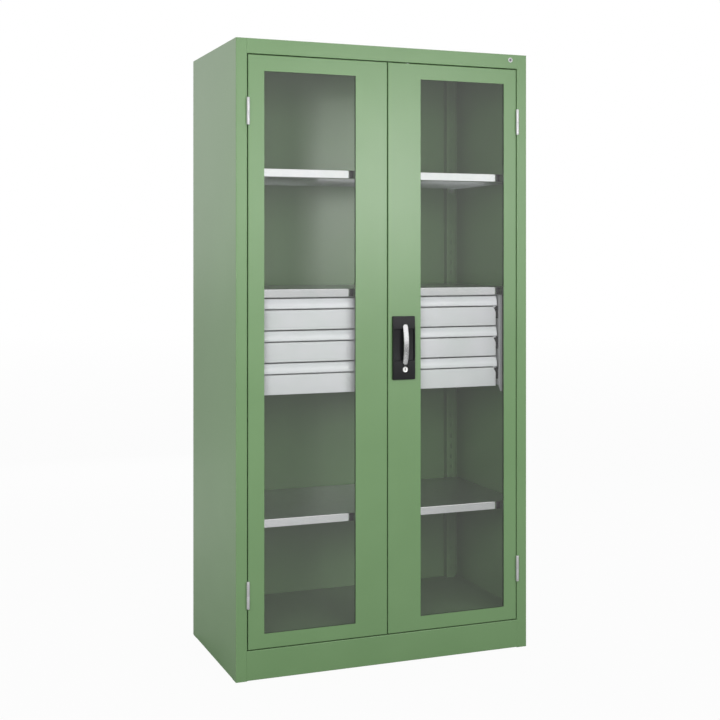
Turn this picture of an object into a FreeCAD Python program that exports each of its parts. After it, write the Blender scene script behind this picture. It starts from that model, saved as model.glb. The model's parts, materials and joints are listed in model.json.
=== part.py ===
import FreeCAD, Part
import math
import os
import re

import Sketcher
from FreeCAD import Placement, Rotation, Vector

os.makedirs("parts", exist_ok=True)
doc = FreeCAD.newDocument("Cabinet")

# Driving dimensions, in millimetres unless the name says otherwise.
# X runs across the front, Y from the front to the back and Z up from the floor.
driving = {
    # Carcass
    "width": 1000,
    "depth": 500,
    "height": 1950,
    "wall": 1.2,
    "bend_radius": 2,
    "post_width": 35.5,
    "post_return": 22,
    "post_hem": 12,
    "rear_lap": 18,
    "rail_height": 46,
    "rail_hem": 12,
    "sill_height": 91,
    "sill_depth": 24,
    "sill_lap": 12,
    "floor_height": 113,
    "floor_lip": 25,
    "plinth_fold": 20,
    "plinth_lift": 1,
    "side_lift": 1,
    "corner_leg": 37,
    "seam_gap": 0.6,
    "face_gap": 0.3,
    "overrun": 2,
    # Levelling feet and the brackets they screw into
    "bracket_size": 62,
    "bracket_thick": 2.5,
    "bracket_height": 42,
    "foot_inset": 34,
    "foot_radius": 18,
    "foot_thick": 7,
    "foot_hex_radius": 9,
    "screw_play": 0.3,
    # Slotted uprights
    "upright_width": 33,
    "upright_depth": 24,
    "upright_inset": 20,
    "front_upright_depth": 7,
    "slot_column_inset": 17,
    "slot_pitch": 37.2,
    "slot_start": 26.8,
    "slot_width": 5,
    "slot_tall": 15,
    # Shelves and their hooks
    "shelf_side_gap": 15,
    "shelf_front_inset": 30,
    "shelf_rear_gap": 0.8,
    "shelf_drop": 26,
    "shelf_lip": 20,
    "bottom_shelf_slot_count": 8,
    "middle_shelf_slot_count": 27,
    "top_shelf_slot_count": 37,
    "hook_width": 22,
    "hook_reach": 18,
    "hook_thick": 2,
    "hook_rise": 1,
    "hook_tongue": 4,
    # Doors
    "door_gap": 3,
    "door_depth": 20,
    "door_lip": 15,
    "hinge_stile": 48.5,
    "lock_stile": 110.5,
    "window_shift": 3,
    "door_top_rail": 48.5,
    "door_bottom_rail": 44.5,
    "reveal_depth": 3,
    "pane_thick": 3,
    "pane_lap": 10,
    "gasket_thick": 1,
    "gasket_width": 8,
    "retainer_thick": 3.5,
    "retainer_width": 12,
    "retainer_inset": 0.5,
    "strip_reach": 12,
    "strip_seat": 18,
    "strip_thick": 1.5,
    "strip_joggle": 0.5,
    # Hinges, with the axis standing proud of the front
    "hinge_proud": 5.4,
    "knuckle_radius": 5,
    "pin_radius": 3,
    "pin_play": 0.05,
    "hinge_long": 87,
    "fixed_knuckle_long": 41,
    "knuckle_gap": 0.4,
    "lower_hinge_rise": 124,
    "upper_hinge_drop": 216,
    "leaf_depth": 16,
    # Lock plate, bow handle and key cylinder
    "handle_x": 57,
    "handle_pivot_height": 1064,
    "plate_inset": 14,
    "plate_width": 76.5,
    "plate_tall": 201,
    "plate_proud": 9,
    "plate_corner": 6,
    "plate_edge": 1.2,
    "plate_below_pivot": 167,
    "recess_tall": 102,
    "recess_bottom": 59,
    "recess_deep": 6.5,
    "recess_rim": 2.5,
    "bow_long": 112,
    "bow_wide": 18.5,
    "bow_thick": 7,
    "bow_rise": 8,
    "bow_gap": 0.3,
    "spindle_radius": 5,
    "spindle_play": 0.08,
    "press_play": 0.02,
    "key_rise": 32,
    "cylinder_radius": 8.8,
    "cylinder_proud": 1,
    "cylinder_deep": 12,
    "plug_radius": 5.5,
    "plug_play": 0.06,
    "keyway_width": 2,
    "keyway_tall": 8,
    "keyway_deep": 3,
    "key_cam_long": 14,
    "key_cam_thick": 2,
    # Rod lock: a pinion between two racks
    "gear_module": 1.5,
    "gear_teeth": 12,
    "gear_pressure_angle": 25,
    "gear_tip": 1.35,
    "gear_root": 1.8,
    "gear_backlash": 0.12,
    "gear_thick": 6,
    "gear_back_gap": 2.6,
    "rack_web": 5.5,
    "rack_long": 54,
    "rack_space_count": 10,
    "rod_wide": 7,
    "rod_thick": 5,
    "rod_play": 0.5,
    "rod_short": 1.5,
    "case_wall": 1.5,
    "case_play": 0.6,
    "guide_tall": 14,
    "guide_wall": 3,
    "keeper_size": 18,
    "keeper_thick": 2,
    # Drawer housing and slides
    "housing_inset": 81,
    "housing_front_inset": 40,
    "housing_rear_gap": 24,
    "housing_drop": 330,
    "housing_flange": 6,
    "housing_top_flange": 26,
    "housing_taper": 26,
    "hanger_rear_gap": 10,
    "bolt_neck": 6,
    "bolt_head_radius": 5,
    "bolt_head_thick": 4,
    "bolt_inset": 5,
    "bolt_from_plate": 14,
    "bolt_grip": 4,
    "tie_tall": 40,
    "tie_below_drawer": 12,
    "slide_inset": 42,
    "slide_rear_gap": 14,
    "slide_tall": 40,
    "slide_deep": 11,
    "slide_play": 0.6,
    "runner_deep": 15,
    # Drawers
    "drawer_side_gap": 14,
    "drawer_front_inset": 35,
    "drawer_pitch": 100,
    "drawer_lowest": 860,
    "drawer_front_tall": 64,
    "drawer_front_thick": 1.2,
    "corner_cut_wide": 9,
    "corner_cut_tall": 20,
    "drawer_slide_rise": 22,
    "tray_side_gap": 7,
    "tray_rear_gap": 10,
    "tray_tall": 78,
    "tray_rise": 5,
    "tray_wall": 1,
    "grip_slot": 4,
    "grip_tall": 28,
    "grip_reach": 9,
    "grip_shoulder_reach": 5.6,
    "grip_shoulder_drop": 9,
    "grip_round": 12,
    "grip_wall": 1.5,
    "grip_lip": 3,
    # Round badge on the top rail
    "badge_inset": 60,
    "badge_drop": 18,
    "badge_radius": 8,
    "badge_thick": 1.2,
}

# Places that follow from the driving dimensions
derived = {
    "half_width": "width / 2",
    "handle_reach": "plate_proud + bow_gap + bow_rise + bow_thick",
    "front": "(handle_reach - depth) / 2",
    "back": "front + depth",
    "post_inner": "half_width - post_width",
    "rail_bottom": "height - rail_height",
    "door_outer": "post_inner - door_gap",
    "door_inner": "door_gap / 2",
    "door_bottom": "sill_height + door_gap",
    "door_top": "rail_bottom - door_gap",
    "door_back": "front + door_depth",
    "hinge_x": "post_inner - door_gap / 2",
    "hinge_y": "front - hinge_proud",
    "lower_hinge_height": "door_bottom + lower_hinge_rise",
    "upper_hinge_height": "door_top - upper_hinge_drop",
    "right_window_inner": "door_inner + lock_stile + window_shift",
    "right_window_outer": "door_outer - hinge_stile + window_shift",
    "left_window_inner": "door_inner + lock_stile - window_shift",
    "left_window_outer": "door_outer - hinge_stile - window_shift",
    "window_bottom": "door_bottom + door_bottom_rail",
    "window_top": "door_top - door_top_rail",
    "gasket_front": "front + reveal_depth",
    "pane_front": "gasket_front + gasket_thick",
    "retainer_front": "pane_front + pane_thick",
    "upright_face": "back - wall - upright_depth",
    "upright_outer": "half_width - upright_inset",
    "rear_slot_x": "upright_outer - slot_column_inset",
    "front_slot_x": "post_inner + slot_column_inset",
    "front_upright_face": "front + post_return + front_upright_depth",
    "shelf_half": "half_width - shelf_side_gap",
    "shelf_front": "front + shelf_front_inset",
    "shelf_back": "upright_face - shelf_rear_gap",
    "first_slot": "floor_height + slot_start",
    "shelf_above_slot": "slot_tall + hook_rise + shelf_drop",
    "bottom_shelf_top": "first_slot + bottom_shelf_slot_count * slot_pitch + shelf_above_slot",
    "middle_shelf_top": "first_slot + middle_shelf_slot_count * slot_pitch + shelf_above_slot",
    "top_shelf_top": "first_slot + top_shelf_slot_count * slot_pitch + shelf_above_slot",
    "hanger_top": "middle_shelf_top - shelf_drop",
    "housing_half": "half_width - housing_inset",
    "housing_front": "front + housing_front_inset",
    "housing_deep": "shelf_back - housing_rear_gap - housing_front",
    "housing_top_deep": "shelf_back - hanger_rear_gap - housing_front",
    "housing_bottom": "hanger_top - housing_drop",
    "bolt_x": "housing_half + bolt_from_plate",
    "drawer_half": "housing_half - drawer_side_gap",
    "tray_half": "drawer_half - tray_side_gap",
    "drawer_front": "front + drawer_front_inset",
    "tray_front": "drawer_front + drawer_front_thick",
    "tray_deep": "housing_deep - tray_rear_gap",
    "slide_front": "front + slide_inset",
    "slide_long": "housing_deep - slide_rear_gap",
    "plate_front": "front - plate_proud",
    "plate_bottom_height": "handle_pivot_height - plate_below_pivot",
    "key_height": "plate_bottom_height + key_rise",
    "badge_x": "half_width - badge_inset",
    "pitch_radius": "gear_module * gear_teeth / 2",
    "base_radius": "pitch_radius * cos(gear_pressure_angle)",
    "root_radius": "pitch_radius - gear_root",
    "tip_radius": "pitch_radius + gear_tip",
    "clear_radius": "tip_radius + gear_tip / 2",
    "tooth_pitch": "pi * gear_module",
    "half_space": "tooth_pitch / 4 + gear_backlash / 2",
    "gear_front": "front + wall + gear_back_gap",
    "gear_back": "gear_front + gear_thick",
    "rod_y": "gear_front + gear_thick / 2",
    "rod_offset": "pitch_radius + rack_web",
    "upper_rod_x": "handle_x + rod_offset",
    "lower_rod_x": "handle_x - rod_offset",
    "case_half": "rod_offset + rod_wide / 2 + case_play + case_wall",
    "case_reach": "rack_long / 2 + case_wall",
}


def write_sheet(name, rows, formula):
    sheet = doc.addObject("Spreadsheet::Sheet", name)
    for row, (alias, content) in enumerate(rows.items(), 1):
        sheet.set(f"A{row}", alias)
        sheet.set(f"B{row}", formula(content))
        sheet.setAlias(f"B{row}", alias)
    doc.recompute()
    return sheet


def expand(text):
    # Each alias gets the name of the sheet that holds it.
    def with_sheet(match):
        word = match.group(0)
        if word in driving:
            return "Sizes." + word
        return "Places." + word if word in derived else word

    return re.sub(r"[a-z][a-z_]+", with_sheet, text)


sizes = write_sheet("Sizes", driving, str)
places = write_sheet("Places", derived, lambda text: "=" + expand(text))


def value(text):
    result = sizes.evalExpression(expand(text))
    return float(getattr(result, "Value", result))


def bind(item, prop, text):
    item.setExpression(prop, expand(text))


def minus(text):
    return f"-({text})"


# Basic solids whose sizes are bound to the sheets

def block(label, x, y, z):
    box = doc.addObject("Part::Box", label)
    for prop, axis, (low, high) in (("Length", "x", x), ("Width", "y", y), ("Height", "z", z)):
        bind(box, prop, f"({high}) - ({low})")
        bind(box, f"Placement.Base.{axis}", low)
    return box


axis_turns = {
    "x": Rotation(Vector(0, 1, 0), 90),
    "y": Rotation(Vector(1, 0, 0), -90),
    "z": Rotation(),
}


def drum(label, x, y, z, radius):
    # The direction given as a span is the cylinder's axis.
    cylinder = doc.addObject("Part::Cylinder", label)
    for axis, place in (("x", x), ("y", y), ("z", z)):
        if isinstance(place, tuple):
            cylinder.Placement = Placement(Vector(), axis_turns[axis])
            bind(cylinder, "Height", f"({place[1]}) - ({place[0]})")
    for axis, place in (("x", x), ("y", y), ("z", z)):
        low = place[0] if isinstance(place, tuple) else place
        bind(cylinder, f"Placement.Base.{axis}", low)
    bind(cylinder, "Radius", radius)
    return cylinder


def join(label, *pieces):
    fuse = doc.addObject("Part::MultiFuse", label)
    fuse.Shapes = list(pieces)
    fuse.Refine = True
    return fuse


def cut(label, base, *tools):
    tool = tools[0] if len(tools) == 1 else join(label + "_tools", *tools)
    result = doc.addObject("Part::Cut", label)
    result.Base = base
    result.Tool = tool
    result.Refine = True
    return result


def mirrored(label, source):
    mirror = doc.addObject("Part::Mirroring", label)
    mirror.Source = source
    mirror.Normal = Vector(1, 0, 0)
    return mirror


def grouped(label, *pieces):
    group = doc.addObject("Part::Compound", label)
    group.Links = list(pieces)
    return group


def both_sides(label, pieces):
    # The same loose pieces on the right and, mirrored, on the left
    right = grouped(label + "_right", *pieces)
    return grouped(label, right, mirrored(label + "_left", right))


def parallel_edges(shape, direction, points):
    # Names of the straight edges along one direction that pass through the given points
    names = []
    for number, edge in enumerate(shape.Edges, 1):
        if len(edge.Vertexes) < 2 or edge.Curve.TypeId != "Part::GeomLine":
            continue
        if abs(abs(edge.Curve.Direction.dot(direction)) - 1) > 1e-6:
            continue
        start = edge.Vertexes[0].Point
        for point in points:
            offset = start - point
            across = offset - direction * offset.dot(direction)
            if across.Length < 1e-4:
                names.append(f"Edge{number}")
    return sorted(set(names), key=lambda name: int(name[4:]))


def softened(label, source, edges, radius, kind="Part::Fillet"):
    fillet = doc.addObject(kind, label)
    fillet.Base = source
    doc.recompute()
    fillet.Edges = [(int(name[4:]), value(radius), value(radius)) for name in edges(source.Shape)]
    return fillet


# Sketched profiles

sketch_axes = {
    "XY": (Vector(1, 0, 0), Vector(0, 1, 0), Vector(0, 0, 1)),
    "XZ": (Vector(1, 0, 0), Vector(0, 0, 1), Vector(0, 1, 0)),
    "YZ": (Vector(0, 1, 0), Vector(0, 0, 1), Vector(1, 0, 0)),
}


def placed_sketch(body, name, plane, level, centre=("0", "0")):
    sketch = body.newObject("Sketcher::SketchObject", name)
    origin = [f for f in body.Origin.OriginFeatures if f.Role == plane + "_Plane"][0]
    sketch.AttachmentSupport = [(origin, "")]
    sketch.MapMode = "FlatFace"
    bind(sketch, "AttachmentOffset.Base.x", centre[0])
    bind(sketch, "AttachmentOffset.Base.y", centre[1])
    # The XZ plane's normal points to the front, so its level is counted backwards.
    bind(sketch, "AttachmentOffset.Base.z", minus(level) if plane == "XZ" else level)
    return sketch


def sketched(body, name, plane, corners, level, centre=("0", "0")):
    sketch = placed_sketch(body, name, plane, level, centre)
    points = [Vector(value(across), value(up), 0) for across, up in corners]
    ends = points[1:] + points[:1]
    sketch.addGeometry([Part.LineSegment(a, b) for a, b in zip(points, ends)], False)
    count = len(points)
    rules = [Sketcher.Constraint("Coincident", i, 2, (i + 1) % count, 1) for i in range(count)]
    for i, point in enumerate(points):
        rules.append(Sketcher.Constraint("DistanceX", -1, 1, i, 1, point.x))
        rules.append(Sketcher.Constraint("DistanceY", -1, 1, i, 1, point.y))
    sketch.addConstraint(rules)
    for i, (across, up) in enumerate(corners):
        sketch.setExpression(f"Constraints[{count + 2 * i}]", expand(across))
        sketch.setExpression(f"Constraints[{count + 2 * i + 1}]", expand(up))
    return sketch


def padded(label, plane, corners, span, rounds=(), radius="bend_radius"):
    # A profile drawn on one plane and padded along the third axis; rounds lists corners to soften
    body = doc.addObject("PartDesign::Body", label)
    start = span[1] if plane == "XZ" else span[0]
    sketch = sketched(body, label + "_profile", plane, corners, start)
    pad = body.newObject("PartDesign::Pad", label + "_pad")
    pad.Profile = sketch
    bind(pad, "Length", f"({span[1]}) - ({span[0]})")
    if rounds:
        doc.recompute()
        across, up, along = sketch_axes[plane]
        points = [across * value(a) + up * value(b) for a, b in rounds]
        fillet = body.newObject("PartDesign::Fillet", label + "_bends")
        fillet.Base = (pad, parallel_edges(pad.Shape, along, points))
        bind(fillet, "Radius", radius)
        body.Tip = fillet
    return body


def patterned(body, feature, kind, direction, extent, number):
    pattern = body.newObject(kind, feature.Label + "_run")
    pattern.Originals = [feature]
    if kind == "PartDesign::PolarPattern":
        pattern.Axis = direction
        bind(pattern, "Angle", extent)
    else:
        pattern.Direction = direction
        bind(pattern, "Length", extent)
    bind(pattern, "Occurrences", number)
    body.Tip = pattern
    return pattern


def pocketed(body, sketch, length):
    pocket = body.newObject("PartDesign::Pocket", sketch.Label + "_cut")
    pocket.Profile = sketch
    bind(pocket, "Length", length)
    body.Tip = pocket
    return pocket


def folded(label, plane, path, span, side=1, radius="bend_radius"):
    # Sheet metal that follows a path of square bends; side 1 puts the wall right of the path
    flat = [(value(across), value(up)) for across, up in path]
    steps = []
    for (x0, y0), (x1, y1) in zip(flat, flat[1:]):
        length = math.hypot(x1 - x0, y1 - y0)
        steps.append((round((x1 - x0) / length), round((y1 - y0) / length)))
    normals = [(side * dy, -side * dx) for dx, dy in steps]
    inner = []
    convex = []
    for i, (across, up) in enumerate(path):
        near = {normals[max(i - 1, 0)], normals[min(i, len(normals) - 1)]}
        shift_x = sum(n[0] for n in near)
        shift_y = sum(n[1] for n in near)
        inner.append((f"({across}) + {shift_x} * wall", f"({up}) + {shift_y} * wall"))
        if 0 < i < len(path) - 1:
            before = steps[i - 1]
            after = steps[i]
            turns_right = before[0] * after[1] - before[1] * after[0] < 0
            convex.append(path[i] if turns_right == (side > 0) else inner[i])
    return padded(label, plane, list(path) + inner[::-1], span, convex if radius else (), radius)


nodes = {}


def keep(item):
    nodes[item.Label] = item
    return item


# Carcass

def side_panel():
    # One folded sheet: rear lap, side wall, front post face, its return and hem
    rear = "back - wall"
    path = [
        ("half_width - rear_lap", rear),
        ("half_width", rear),
        ("half_width", "front"),
        ("post_inner", "front"),
        ("post_inner", "front + post_return"),
        ("post_inner + post_hem", "front + post_return"),
    ]
    sheet = folded("right_side_sheet", "XY", path, ("0", "height - wall"))
    notch = block(
        "side_notch",
        ("half_width - wall - overrun", "half_width + overrun"),
        ("front + corner_leg", "back - corner_leg"),
        (minus("overrun"), "side_lift"),
    )
    keep(cut("right_side_panel", sheet, notch))
    keep(mirrored("left_side_panel", nodes["right_side_panel"]))


def back_panel():
    keep(block(
        "back_panel",
        (minus("half_width"), "half_width"),
        ("back - wall", "back"),
        ("side_lift", "height - wall"),
    ))


def rod_hole(label, x, low, high):
    # A punched hole that a flat lock rod passes through
    return block(
        label,
        (f"{x} - rod_wide / 2 - rod_play", f"{x} + rod_wide / 2 + rod_play"),
        ("rod_y - rod_thick / 2 - rod_play", "rod_y + rod_thick / 2 + rod_play"),
        (f"({low}) - overrun", f"({high}) + overrun"),
    )


def top_cap():
    lid = block(
        "top_lid",
        (minus("half_width"), "half_width"),
        ("front", "back"),
        ("height - wall", "height"),
    )
    rail_path = [
        ("front", "height"),
        ("front", "rail_bottom"),
        ("front + post_return", "rail_bottom"),
        ("front + post_return", "rail_bottom + rail_hem"),
    ]
    rail = folded("top_rail", "YZ", rail_path, (minus("post_inner"), "post_inner"), side=-1)
    rear_fold = block(
        "top_rear_fold",
        (minus("upright_outer - upright_width - overrun"), "upright_outer - upright_width - overrun"),
        ("back - 2 * wall", "back - wall"),
        ("height - wall - rear_lap", "height - wall"),
    )
    cap = join("top_cap_sheet", lid, rail, rear_fold)
    hole = rod_hole("top_rod_hole", "upper_rod_x", "rail_bottom", "rail_bottom + wall")
    keep(cut("top_cap", cap, hole))


def floor_panel():
    # A pan whose front lip stands on the plinth's top fold
    edge = "post_inner - seam_gap"
    path = [
        ("front + sill_depth", "sill_height"),
        ("front + sill_depth", "floor_height"),
        ("back - 2 * wall", "floor_height"),
        ("back - 2 * wall", "floor_height - floor_lip"),
    ]
    tray = folded("floor_tray", "YZ", path, (minus(edge), edge))
    side = block(
        "floor_side",
        (f"{edge} - overrun", "half_width - wall"),
        ("front + sill_depth + wall", "back - 2 * wall"),
        ("floor_height - wall", "floor_height"),
    )
    keep(join("floor_panel", tray, side, mirrored("floor_side_left", side)))


def plinth():
    # A sill and a kick plate in one sheet, welded in between the two posts
    path = [
        ("front + sill_depth + sill_lap", "sill_height"),
        ("front", "sill_height"),
        ("front", "plinth_lift"),
        ("front + plinth_fold", "plinth_lift"),
    ]
    sheet = folded("plinth_sheet", "YZ", path, (minus("post_inner"), "post_inner"), side=-1)
    hole = rod_hole("plinth_rod_hole", "lower_rod_x", "sill_height - wall", "sill_height")
    keep(cut("plinth_panel", sheet, hole))


def corner_spots(inset):
    # The centres of a foot or bracket at the front and at the back of the right side
    return (
        ("half_width - wall - foot_inset", f"front + post_return + {inset}"),
        ("half_width - wall - foot_inset", f"back - 2 * wall - {inset}"),
    )


def base_brackets():
    pieces = []
    for end, (x, y) in zip(("front", "rear"), corner_spots("foot_inset")):
        plate = block(
            f"{end}_bracket_plate",
            ("half_width - wall - bracket_size", "half_width - wall"),
            (f"{y} - bracket_size / 2", f"{y} + bracket_size / 2"),
            ("bracket_height", "bracket_height + bracket_thick"),
        )
        upstand = block(
            f"{end}_bracket_upstand",
            ("half_width - wall - bracket_thick", "half_width - wall"),
            (f"{y} - bracket_size / 2", f"{y} + bracket_size / 2"),
            ("bracket_height", "bracket_height + bracket_size / 2"),
        )
        pieces.append(join(f"{end}_bracket", plate, upstand))
    keep(both_sides("base_brackets", pieces))


def levelling_feet():
    # A round pad on a hexagonal adjuster that butts under its bracket
    pieces = []
    for end, (x, y) in zip(("front", "rear"), corner_spots("foot_inset")):
        pad = drum(f"{end}_foot_pad", x, y, ("0", "foot_thick"), "foot_radius")
        adjuster = doc.addObject("Part::Prism", f"{end}_foot_adjuster")
        adjuster.Polygon = 6
        bind(adjuster, "Circumradius", "foot_hex_radius")
        bind(adjuster, "Height", "bracket_height - foot_thick")
        bind(adjuster, "Placement.Base.x", x)
        bind(adjuster, "Placement.Base.y", y)
        bind(adjuster, "Placement.Base.z", "foot_thick")
        pieces.append(join(f"{end}_foot", pad, adjuster))
    keep(both_sides("levelling_feet", pieces))


def slotted(label, path, side, slot_x, face_front):
    # A folded upright with a column of slots cut through its face
    body = folded(label, "XY", path, ("floor_height", "height - wall - rear_lap"), side)
    corners = [
        (f"{slot_x} - slot_width / 2", "first_slot"),
        (f"{slot_x} + slot_width / 2", "first_slot"),
        (f"{slot_x} + slot_width / 2", "first_slot + slot_tall"),
        (f"{slot_x} - slot_width / 2", "first_slot + slot_tall"),
    ]
    doc.recompute()
    before = body.Shape.Volume
    sketch = sketched(body, label + "_slot", "XZ", corners, f"{face_front} - overrun")
    pocket = pocketed(body, sketch, "wall + 2 * overrun")
    run = "floor((height - wall - rear_lap - first_slot - slot_tall) / slot_pitch)"
    along = (sketch, ["V_Axis"])
    patterned(body, pocket, "PartDesign::LinearPattern", along, f"{run} * slot_pitch", f"{run} + 1")
    doc.recompute()
    if body.Shape.Volume >= before:
        raise ValueError(label + " has no slots")
    return body


def uprights():
    rear_end = "back - wall"
    rear = [
        ("upright_outer - upright_width", rear_end),
        ("upright_outer - upright_width", "upright_face"),
        ("upright_outer", "upright_face"),
        ("upright_outer", rear_end),
    ]
    keep(slotted("right_rear_upright", rear, -1, "rear_slot_x", "upright_face"))
    keep(mirrored("left_rear_upright", nodes["right_rear_upright"]))
    front_end = "front + post_return"
    fore = [
        ("post_inner + wall", front_end),
        ("post_inner + wall", "front_upright_face"),
        ("half_width - wall", "front_upright_face"),
        ("half_width - wall", front_end),
    ]
    keep(slotted("right_front_upright", fore, 1, "front_slot_x", "front_upright_face - wall"))
    keep(mirrored("left_front_upright", nodes["right_front_upright"]))


# Shelves

def shelf(name):
    top = f"{name}_top"
    under = f"{top} - shelf_drop"
    half = "shelf_half"
    path = [
        ("shelf_front + shelf_lip", under),
        ("shelf_front", under),
        ("shelf_front", top),
        ("shelf_back", top),
        ("shelf_back", under),
        ("shelf_back - shelf_lip", under),
    ]
    pan = folded(f"{name}_pan", "YZ", path, (minus(half), half))
    side = block(
        f"{name}_side",
        (f"{half} - wall", half),
        ("shelf_front + wall", "shelf_back - wall"),
        (under, f"{top} - wall"),
    )
    return join(f"{name}_sheet", pan, side, mirrored(f"{name}_side_left", side))


def hanger_bolt_spots():
    return (
        ("front", "housing_front + bolt_inset"),
        ("rear", "housing_front + housing_top_deep - bolt_inset"),
    )


def square_neck(label, y, span, play):
    # The square neck of a hanger bolt, or the punched hole that takes it
    half = f"bolt_neck / 2 + {play}"
    x_span = (f"bolt_x - ({half})", f"bolt_x + {half}")
    return block(label, x_span, (f"{y} - ({half})", f"{y} + {half}"), span)


def shelves():
    for name in ("bottom_shelf", "top_shelf"):
        sheet = shelf(name)
        sheet.Label = name
        keep(sheet)
    holes = []
    for end, y in hanger_bolt_spots():
        span = ("hanger_top - overrun", "hanger_top + wall + overrun")
        hole = square_neck(f"shelf_{end}_hole", y, span, "screw_play")
        holes += [hole, mirrored(f"shelf_{end}_hole_left", hole)]
    keep(cut("middle_shelf", shelf("middle_shelf"), *holes))


def shelf_hook(label, x, face, away, under):
    # A plate against the upright with a tongue in the slot and a ledge under the shelf
    def span(start, end):
        first = f"{face} - ({start})"
        second = f"{face} - ({end})"
        return (second, first) if away > 0 else (f"{face} + ({start})", f"{face} + ({end})")

    side_x = (f"{x} - hook_width / 2", f"{x} + hook_width / 2")
    slot_bottom = f"{under} - hook_rise - slot_tall"
    ledge = block(f"{label}_ledge", side_x, span("0", "hook_reach"), (f"{under} - hook_thick", under))
    plate = block(f"{label}_plate", side_x, span("0", "hook_thick"), (slot_bottom, under))
    tongue = block(
        f"{label}_tongue",
        (f"{x} - slot_width / 2 + screw_play", f"{x} + slot_width / 2 - screw_play"),
        span(minus("wall + hook_tongue"), "0"),
        (f"{slot_bottom} + screw_play", f"{under} - hook_rise - screw_play"),
    )
    return join(label, ledge, plate, tongue)


def shelf_hooks():
    pieces = []
    for name in ("bottom", "middle", "top"):
        under = f"{name}_shelf_top - shelf_drop"
        rear = shelf_hook(f"{name}_rear_hook", "rear_slot_x", "upright_face", 1, under)
        fore = shelf_hook(f"{name}_front_hook", "front_slot_x", "front_upright_face", -1, under)
        pieces += [rear, fore]
    keep(both_sides("shelf_hooks", pieces))


# Hinges

hinge_heights = {"lower": "lower_hinge_height", "upper": "upper_hinge_height"}


def knuckle(label, low, high, leaf_x):
    barrel = drum(f"{label}_barrel", "hinge_x", "hinge_y", (low, high), "knuckle_radius")
    leaf = block(f"{label}_leaf", leaf_x, ("hinge_y", "front + leaf_depth"), (low, high))
    solid = join(f"{label}_solid", barrel, leaf)
    bore = drum(
        f"{label}_bore",
        "hinge_x",
        "hinge_y",
        (f"{low} - overrun", f"{high} + overrun"),
        "pin_radius + pin_play",
    )
    return cut(label, solid, bore)


def hinges():
    fixed = []
    moving = []
    pins = []
    for name, bottom in hinge_heights.items():
        split = f"{bottom} + fixed_knuckle_long"
        fixed_leaf = ("post_inner - wall", "post_inner")
        fixed.append(knuckle(f"{name}_fixed_knuckle", bottom, split, fixed_leaf))
        moving_leaf = ("door_outer", "door_outer + wall")
        top = f"{bottom} + hinge_long"
        moving.append(knuckle(f"{name}_door_knuckle", f"{split} + knuckle_gap", top, moving_leaf))
        pins.append(drum(f"{name}_pin", "hinge_x", "hinge_y", (bottom, top), "pin_radius"))
    keep(both_sides("frame_hinge_knuckles", fixed))
    keep(both_sides("hinge_pins", pins))
    keep(grouped("right_hinge_knuckles", *moving))
    keep(mirrored("left_hinge_knuckles", nodes["right_hinge_knuckles"]))


# Doors

def ring(label, x, z, y, width):
    # A flat frame of one width round an opening
    plate = block(
        f"{label}_plate",
        (f"{x[0]} - {width}", f"{x[1]} + {width}"),
        y,
        (f"{z[0]} - {width}", f"{z[1]} + {width}"),
    )
    hole = block(f"{label}_hole", x, (f"{y[0]} - overrun", f"{y[1]} + overrun"), z)
    return cut(label, plate, hole)


# Each door is drawn on the right, and the left one is mirrored. Both windows stand off the
# middle of their doors by the same small shift to the right.
window_x = {
    "right": ("right_window_inner", "right_window_outer"),
    "left": ("left_window_inner", "left_window_outer"),
}


def keep_on(side, label, piece):
    if side == "left":
        piece = mirrored(label, piece)
    piece.Label = label
    keep(piece)


def door_sheet(side):
    # A pan open at the back with a folded lip, and a window with folded edges
    label = f"{side}_door"
    inner, outer_edge = window_x[side]
    outer = block(
        f"{label}_outer",
        ("door_inner", "door_outer"),
        ("front", "door_back"),
        ("door_bottom", "door_top"),
    )

    def front_corners(shape):
        x_edges = [Vector(0, value("front"), value(z)) for z in ("door_bottom", "door_top")]
        z_edges = [Vector(value(x), value("front"), 0) for x in ("door_inner", "door_outer")]
        names = parallel_edges(shape, Vector(1, 0, 0), x_edges)
        return names + parallel_edges(shape, Vector(0, 0, 1), z_edges)

    soft = softened(f"{label}_soft", outer, front_corners, "bend_radius")
    cavity = block(
        f"{label}_cavity",
        ("door_inner + wall", "door_outer - wall"),
        ("front + wall", "door_back - wall"),
        ("door_bottom + wall", "door_top - wall"),
    )
    mouth = block(
        f"{label}_mouth",
        ("door_inner + door_lip", "door_outer - door_lip"),
        ("door_back - wall - overrun", "door_back + overrun"),
        ("door_bottom + door_lip", "door_top - door_lip"),
    )
    pan = cut(f"{label}_pan", soft, cavity, mouth)
    sleeve = block(
        f"{label}_sleeve",
        (f"{inner} - wall", f"{outer_edge} + wall"),
        ("front + wall / 2", "front + reveal_depth"),
        ("window_bottom - wall", "window_top + wall"),
    )
    window = block(
        f"{label}_window",
        window_x[side],
        ("front - overrun", "front + reveal_depth + overrun"),
        ("window_bottom", "window_top"),
    )
    return cut(f"{label}_glazed", join(f"{label}_body", pan, sleeve), window)


def glazing(side):
    inner, outer = window_x[side]
    window_z = ("window_bottom", "window_top")
    gasket = ring(
        f"{side}_gasket",
        (f"{inner} - wall / 2", f"{outer} + wall / 2"),
        (f"{window_z[0]} - wall / 2", f"{window_z[1]} + wall / 2"),
        ("gasket_front", "pane_front"),
        "gasket_width",
    )
    pane = block(
        f"{side}_pane",
        (f"{inner} - pane_lap", f"{outer} + pane_lap"),
        ("pane_front", "retainer_front"),
        ("window_bottom - pane_lap", "window_top + pane_lap"),
    )
    retainer = ring(
        f"{side}_retainer",
        (f"{inner} - retainer_inset", f"{outer} + retainer_inset"),
        (f"{window_z[0]} - retainer_inset", f"{window_z[1]} + retainer_inset"),
        ("retainer_front", "retainer_front + retainer_thick"),
        "retainer_width",
    )
    for name, piece in (("gasket", gasket), ("pane", pane), ("retainer", retainer)):
        keep_on(side, f"{side}_door_{name}", piece)


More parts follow.
